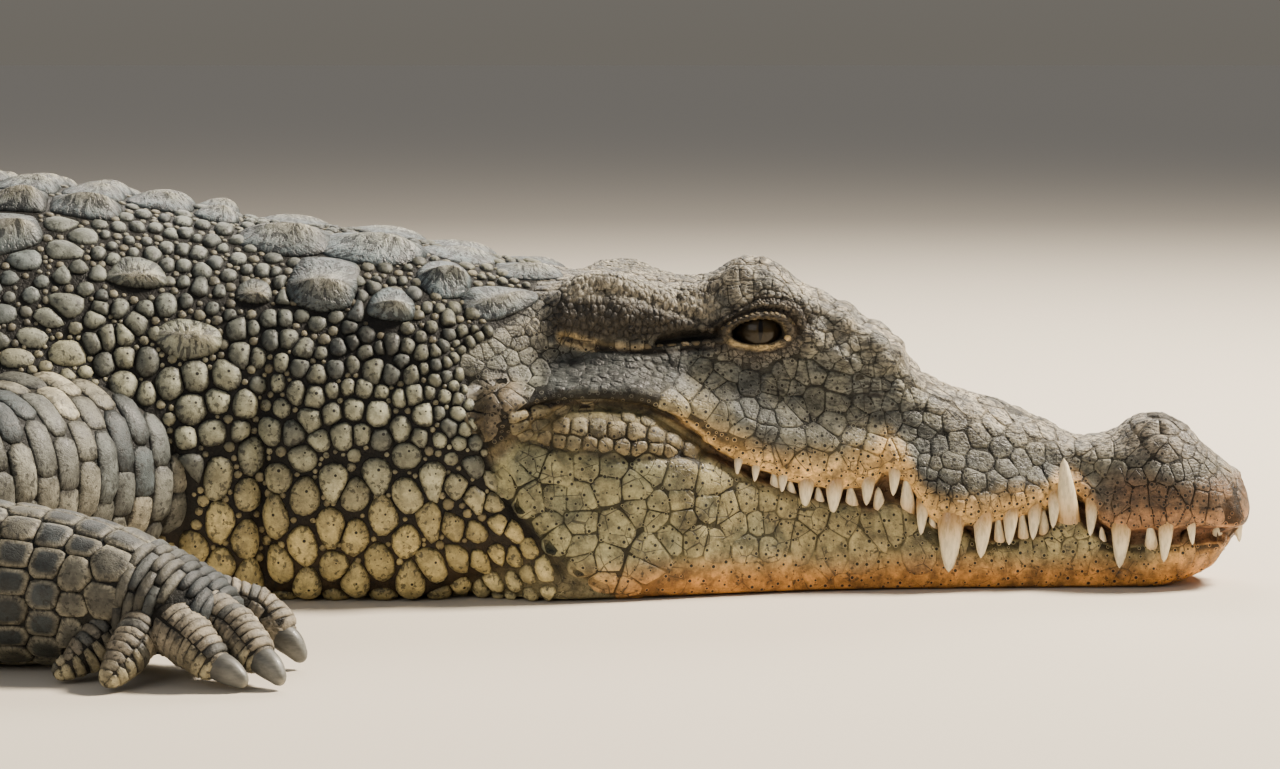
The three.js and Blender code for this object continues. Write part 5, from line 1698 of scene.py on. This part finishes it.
def granulesOn(sheet, mask, tries, largest, smallest):
    # small round scales in the gaps that the large ones leave
    draw = np.random.default_rng(9)
    i, j = np.nonzero(mask[:-1])
    area = np.linalg.norm(np.cross(sheet.along, sheet.around), axis=-1)[i, j]
    pick = draw.choice(len(i), tries, p=area / area.sum())
    u, v = i[pick] + draw.random(tries), j[pick] + draw.random(tries)
    place = sheet.read(sheet.points, u, v)
    near = [kind for kind in everyKind if kind.sheet is sheet or kind in limbKinds["fore", "right"]]
    owner = np.concatenate([np.full(len(kind.u), n) for n, kind in enumerate(near)])
    index = np.concatenate([np.arange(len(kind.u)) for kind in near])
    tree = treeOf(np.concatenate([kind.place for kind in near]))
    hits = np.array([[hit[1] for hit in tree.find_n(p, 4)] for p in place])
    clear = np.full(tries, 99.0)
    for column in hits.T:
        for n in np.unique(owner[column]):
            kind, mine = near[n], owner[column] == n
            k = index[column[mine]]
            delta = place[mine] - kind.place[k]
            x, y = kind.seen(delta, k)
            spoke = np.round(np.arctan2(y, x) / (2 * math.pi) * kind.sides).astype(int) % kind.sides
            clear[mine] = np.minimum(clear[mine], np.linalg.norm(delta, axis=1) - kind.outline[k, spoke])
    size = np.minimum(clear * 0.96 + 0.3, largest * draw.uniform(0.2, 1.0, tries))
    order = [k for k in np.argsort(-size).tolist() if size[k] >= smallest]
    kept = spaced(order, place, size, 18, lambda mine, other: (mine + other) * 0.93)
    u, v, size = u[kept], v[kept], size[kept]
    brown = (0.35 + 0.3 * draw.random(len(u))) * ease(7, 4, size)
    tops = mix(bodyTone(*sheet.valuesAt(u, v)) * 0.85, shade["granule"], brown)
    tops = tops * draw.normal(1, 0.14, (len(u), 1))
    made = Scales(sheet, u, v, size, size * draw.uniform(0.85, 1.1, len(u)), size * 0.42, tops, tops * 0.3,
                  sides=8, rings=(1, 0.8, 0.45), gap=0.4, flat=2.0, sunk=0.8)
    made.outline = made.long[:, None] * draw.uniform(0.88, 1.08, (len(u), 8))
    return made.even()


granules = dict(near=dict(tries=80000, largest=8.0, smallest=1.8),
                far=dict(tries=24000, largest=9.0, smallest=2.6), nearTo=1300, farTo=1800)
sheet = bodySheet
behind = sheet.station > rearEdge(sheet.high) + 3
mask = behind & (sheet.station < granules["nearTo"]) & (sheet.line < 7.5) & (sheet.side < 0)
nearGranules = granulesOn(sheet, mask, **granules["near"])
mask = behind & (sheet.station < granules["farTo"]) & (sheet.line < 7) & ~mask
farGranules = granulesOn(sheet, mask, **granules["far"])
dropHidden([nearGranules, farGranules], limbSheets, 1.0)
coatPiece("back_scutes", [bigScutes], scuteLook, "neck", "trunk")
neckPiece = coatPiece("neck_scales", [neckScales], scaleLook, "neck")
low = neckScales.rise > 2.2
u, v = neckScales.u[low] - 0.5, neckScales.v[low]
poresOn("neck_pores", sheet, u, v + np.where(v < 70, 0.6, -0.6), [neckPiece], neckScales.top[low], "neck")
coatPiece("granules_near", [nearGranules], scaleLook, "neck", "trunk")
coatPiece("granules_far", [farGranules], scaleLook, "neck", "trunk")
coatPiece("flank_scales", [flankScales, bellyScales], scaleLook, "trunk")
coatPiece("tail_scales", [tailScales], scaleLook, "tail_base", "tail_middle", "tail_tip")
for (end, sideName), kinds in limbKinds.items():
    names = [part + "_" + sideName for part in limbNodes[end]]
    coatPiece(end + "_limb_scales_" + sideName, kinds, limbLook, *names)

# ---- crest of the tail

crest = dict(first=2045, last=3420, joinAt=2680, pitch=56, thick=8, long=34, sunk=9, alongPoints=17,
             upPoints=9)
crestHeight = curve((1830, 14), (2100, 26), (2500, 40), (2800, 52), (3200, 44), (3560, 16))
crestAside = curve((1830, 62), (2200, 44), (2500, 20), (2700, 0), (3620, 0))


def blade(station, side):
    # an upright scute, thin at its edge and leaning to the rear
    rise, aside = float(crestHeight(station)) * rng.normal(1, 0.05), side * float(crestAside(station))
    along = np.linspace(-1, 1, crest["alongPoints"])[:, None]
    level = np.linspace(0, 1, crest["upPoints"])[None]
    outline = 1 - np.abs((along - 0.35 * (1 - 0.2 * along)) / np.where(along < 0.35, 1.38, 0.7)) ** 1.7
    outline = np.clip(outline, 0, 1) ** 0.8
    thick = crest["thick"] * 0.5 * (1 - 0.82 * level ** 1.3) * (1 - np.abs(along) ** 4) ** 0.5 + 0.3
    s = station + along * crest["long"] * (1 - 0.12 * level) + 7 * level * outline
    high = topHeight(s) - crest["sunk"] - 0.3 * abs(aside) + rise * outline * level + 6 * level
    ends = [placed(s, aside + way * thick, high) for way in (-1, 1)]
    tone = mix(shade["tail"], shade["tailDark"], 0.6 * (1 - level) + 0 * along)
    tone = mix(tone, shade["crest"], ease(0.55, 1.0, level) * 0.35)
    return np.concatenate([ends[0], ends[1][:, ::-1]], 1), np.concatenate([tone, tone[:, ::-1]], 1), s.mean()


stations = np.arange(crest["first"], crest["last"] + 1, crest["pitch"])
blades = [blade(station, side) for station in stations
          for side in ((1, -1) if station < crest["joinAt"] else (0,))]
points, tones, middles = [np.array(part) for part in zip(*blades)]
rows, columns = points.shape[1:3]
faces = np.concatenate([gridFaces(rows, columns, k * rows * columns) for k in range(len(blades))])
grid = xyz(np.linspace(0, 0.003, rows)[:, None], np.linspace(0, 0.003, columns))
patches = xyz(0.42 + 0.57 * (middles - 470) / 3150, 0.33)[:, None, None] + grid
piece = meshOf("tail_crest", points.reshape(-1, 3), faces, tones.reshape(-1, 3), patches.reshape(-1, 2))
hand(piece, scuteLook, "hide", "tail_base", "tail_middle", "tail_tip")

# ---- teeth

teeth = dict(sides=14, rings=10, ivory=(236, 222, 188), root=(206, 172, 118), stain=(150, 112, 70))


def tooth(station, length, radius, side, upper):
    # a curved cone from inside the gum to its rounded tip
    s = float(station)
    lip, gum, lipHigh = float(lipWidth(s)), float(gumWidth(s)), float(lipHeight(s))
    if upper:
        start = np.array([s, lip - 3.5 + 0.12 * radius, lipHigh + 7])
        reach = max(gum, float(np.interp(lipHigh - length, [26, 60], [float(jawWidth(s)), gum]))) + 2.5
        end = np.array([s + (1.5 if s > 60 else -2), max(reach, lip - 2), lipHigh - length])
    else:
        top = float(lipHeight(s) - mouthGap(s))
        start = np.array([s, gum - 4.5, top - 7])
        end = np.array([s + 5, lip + 5, top + length] if station == 138 else [s + 2, lip - 4, top + length])
    if s < 30:
        start[1], end[1] = max(start[1] * 0.62, 6), max(end[1] * 0.62, 6)
    t = np.linspace(0, 1, teeth["rings"]) ** 0.8
    middle = (start + end) / 2 + np.array([0, 3.0 + 0.2 * radius, 0])
    path = ((1 - t) ** 2)[:, None] * start + (2 * t * (1 - t))[:, None] * middle + (t ** 2)[:, None] * end
    size = radius * 0.98 * np.sqrt(np.clip(1 - t ** 2.3, 0, 1)) * (1 - 0.36 * t)
    angle = np.arange(teeth["sides"]) / teeth["sides"] * 2 * math.pi
    forward = unit(np.gradient(path, axis=0))
    across = unit(np.cross(forward, [0, 1.0, 0]))
    out = np.cross(across, forward)
    x, y = np.cos(angle)[None, :, None], 0.86 * np.sin(angle)[None, :, None]
    local = path[:, None] + (across[:, None] * x + out[:, None] * y) * size[:, None, None]
    tone = mix(colour(*teeth["root"]), colour(*teeth["ivory"]), ease(0.12, 0.6, t))
    tone = mix(tone, colour(*teeth["stain"]), (1 - ease(0.05, 0.3, t)) * 0.7)
    place = placed(local[..., 0], side * local[..., 1], local[..., 2])
    return place, np.repeat(tone[:, None], teeth["sides"], 1)


for upper, table, name, slot, node in ((True, upperTeeth, "upper_teeth", "hide", "head"),
                                       (False, lowerTeeth, "lower_teeth", "pale_hide", "lower_jaw")):
    cones = [tooth(*row, side, upper) for row in table for side in (-1, 1)]
    points, tones = [np.array(part) for part in zip(*cones)]
    rows, columns = points.shape[1:3]
    faces = []
    for k, place in enumerate(points):
        ring = place[1]
        turn = np.cross(ring[1] - ring[0], place[2, 0] - place[1, 0]) @ (ring[0] - ring.mean(0))
        faces.append(gridFaces(rows, columns, k * rows * columns, turn >= 0))
    piece = meshOf(name, points.reshape(-1, 3), np.concatenate(faces), tones.reshape(-1, 3))
    look = streakedLook(name, (1, 1, 0.25), (420, 3, 0.6), (0.8, 1.08), (0.22, 0.4), (0.25, 0.0005), 0.3)
    hand(piece, look, slot, node)

# ---- eyes

ball = dict(station=373.5, aside=55, height=193.5, radius=19, iris=17.6, pupil=(1.5, 7.6), bulge=1.0,
            cornea=11, forward=10, upward=8, rings=70, sides=96)


def eyeball(side):
    lean = np.linspace(0, math.pi, ball["rings"]) ** 1.6 / math.pi ** 0.6
    spin = np.arange(ball["sides"]) / ball["sides"] * 2 * math.pi
    x, y = np.sin(lean)[:, None] * np.cos(spin), np.sin(lean)[:, None] * np.sin(spin)
    out = np.cos(lean)[:, None]
    across, up = ball["radius"] * x, ball["radius"] * y
    flat = np.hypot(across, up)
    bulge = np.where(out > 0, ball["bulge"] * bell(flat, ball["cornea"]), 0)
    point = xyz(x, out, y) * (ball["radius"] + bulge)[..., None]
    a, b = math.radians(ball["forward"]), math.radians(ball["upward"])
    px = point[..., 0] * math.cos(a) - point[..., 1] * math.sin(a)
    py = point[..., 0] * math.sin(a) + point[..., 1] * math.cos(a)
    pz = point[..., 2] * math.cos(b) + py * math.sin(b)
    py = py * math.cos(b) - point[..., 2] * math.sin(b)
    place = placed(ball["station"] + px, side * (ball["aside"] + py), ball["height"] + pz)
    share = flat / ball["iris"]
    rays = noise(xyz(np.cos(spin) * 9, np.sin(spin) * 9, share * 1.2), 1.0, 71)
    tone = mix(colour(46, 38, 20), colour(22, 17, 10), ease(0.2, 0.9, share + 0.14 * rays))
    tone = tone * (1 + 0.45 * rays)[..., None]
    # the upper part of the eye is darkened: painted shadow of the upper lid
    tone = mix(tone, tone * 0.35, ease(-2, 9, up) * 0.8)
    tone = mix(tone, colour(26, 18, 12), ease(0.9, 1.04, share))
    slit = (np.abs(across) / ball["pupil"][0]) ** 1.5 + (np.abs(up) / ball["pupil"][1]) ** 2
    tone = mix(tone, colour(4, 3, 3), ease(1.5, 0.85, slit) * (out > 0))
    return place.reshape(-1, 3), gridFaces(len(lean), len(spin), flipped=side > 0), tone.reshape(-1, 3)


eyeLook = Look("eye")
eyeLook.surface(colour=eyeLook.painted("tone")["Color"], roughness=0.3, coat=0.35, coatRoughness=0.03,
                specular=0.1)
for side, name in ((1, "left"), (-1, "right")):
    hand(meshOf("eyeball_" + name, *eyeball(side)), eyeLook.material, "eye", "eye_" + name)

# ---- claws

clawLook = streakedLook("claw", (0.3, 1, 1), (520, 4, 0.65), (0.72, 1.15), (0.42, 0.6), (0.3, 0.0006), 0.05)
for end, leg in (("fore", foreLeg), ("hind", hindLeg)):
    for side, sideName in ((1, "left"), (-1, "right")):
        for k, stops in enumerate(leg["claws"]):
            claw = tubeSheet(stops, side, legForward[end, side], 1.2, 24, inset=0.2, rough=0.15)
            share = np.linspace(0, 1, claw.rows)[:, None] + 0.12 * noise(claw.points, 6, 81)
            tone = mix(colour(70, 70, 66), colour(104, 104, 98), ease(0.2, 0.7, share))
            tone = mix(tone, colour(176, 170, 150), ease(0.9, 1.04, share))
            faces = gridFaces(claw.rows, claw.columns, flipped=claw.flipped)
            name = "%s_%s_%d" % (end, sideName, k + 1)
            piece = meshOf("nail_" + name, claw.points.reshape(-1, 3), faces, tone.reshape(-1, 3))
            hand(piece, clawLook, "claw", "claw_" + name)

# ---- camera, floor and light

camera = dict(distance=2.5, height=0.41, aimBehindSnout=467, horizonRow=42, focalPixels=3250, frameWide=1280,
              frameHigh=769)

lamps = dict(  # place, aim, size, power and tint
    key=((3.1, 0.6, 2.9), (0.6, 0, 0.1), (0.7, 0.7), 550, (1.0, 0.88, 0.72)),
    rim=((0.6, 2.8, 2.6), (0.5, 0, 0.15), (2.4, 1.2), 110, (1.0, 0.92, 0.8)),
    fill=((-1.2, -3.4, 1.8), (0.2, 0, 0.1), (3.0, 2.0), 29, (1.0, 0.97, 0.92)))


def makeCamera(c):
    data = bpy.data.cameras.new("camera")
    data.sensor_width = 36
    data.lens = c["focalPixels"] / c["frameWide"] * data.sensor_width
    data.clip_start, data.clip_end = 0.1, 60
    view = bpy.data.objects.new("camera", data)
    bpy.context.scene.collection.objects.link(view)
    angle = math.radians(float(heading(0)))
    aim = placed(np.array(0.0), 0.0, 0.0) * mm
    aim = aim - np.array([math.cos(angle), math.sin(angle), 0]) * c["aimBehindSnout"] * mm
    view.location = (aim[0], aim[1] - c["distance"], c["height"])
    pitch = math.atan((c["frameHigh"] / 2 - c["horizonRow"]) / c["focalPixels"])
    view.rotation_euler = (math.pi / 2 - pitch, 0, 0)
    bpy.context.scene.camera = view


def areaLight(name, place, aim, size, power, tint):
    data = bpy.data.lights.new(name, "AREA")
    data.shape = "RECTANGLE"
    data.size, data.size_y = size
    data.energy = power
    data.color = tint
    lamp = bpy.data.objects.new(name, data)
    bpy.context.scene.collection.objects.link(lamp)
    lamp.location = place
    lamp.rotation_euler = (Vector(aim) - Vector(place)).to_track_quat("-Z", "Y").to_euler()
    lamp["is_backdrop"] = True


def makeStudio():
    floor = bpy.data.meshes.new("floor")
    half = 55
    floor.from_pydata([(-half, -half, 0), (half, -half, 0), (half, half, 0), (-half, half, 0)], [],
                      [(0, 1, 2, 3)])
    stage = bpy.data.objects.new("floor", floor)
    bpy.context.scene.collection.objects.link(stage)
    floor.materials.append(Look("floor").surface(colour=(0.62, 0.56, 0.47), roughness=0.9))
    stage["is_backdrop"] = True
    world = bpy.data.worlds.new("studio")
    bpy.context.scene.world = world
    world.use_nodes = True
    nodes, links = world.node_tree.nodes, world.node_tree.links
    kinds = "TexCoord", "SeparateXYZ", "MapRange", "Background", "MixShader"
    place, parts, height, lower, both = [nodes.new("ShaderNode" + kind) for kind in kinds]
    upper = nodes["Background"]
    for sky, tint, strength in ((upper, (0.93, 0.95, 1.0, 1), 0.27), (lower, (1.0, 0.92, 0.79, 1), 0.16)):
        sky.inputs["Color"].default_value, sky.inputs["Strength"].default_value = tint, strength
    height.inputs["From Max"].default_value = 0.4
    for source, target in ((place.outputs["Generated"], parts.inputs[0]),
                           (parts.outputs["Z"], height.inputs["Value"]),
                           (height.outputs[0], both.inputs[0]), (lower.outputs[0], both.inputs[1]),
                           (upper.outputs[0], both.inputs[2]),
                           (both.outputs[0], nodes["World Output"].inputs["Surface"])):
        links.new(source, target)


makeCamera(camera)
makeStudio()
for name, (place, aim, size, power, tint) in lamps.items():
    areaLight(name, place, aim, size, power, tint)

low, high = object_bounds()
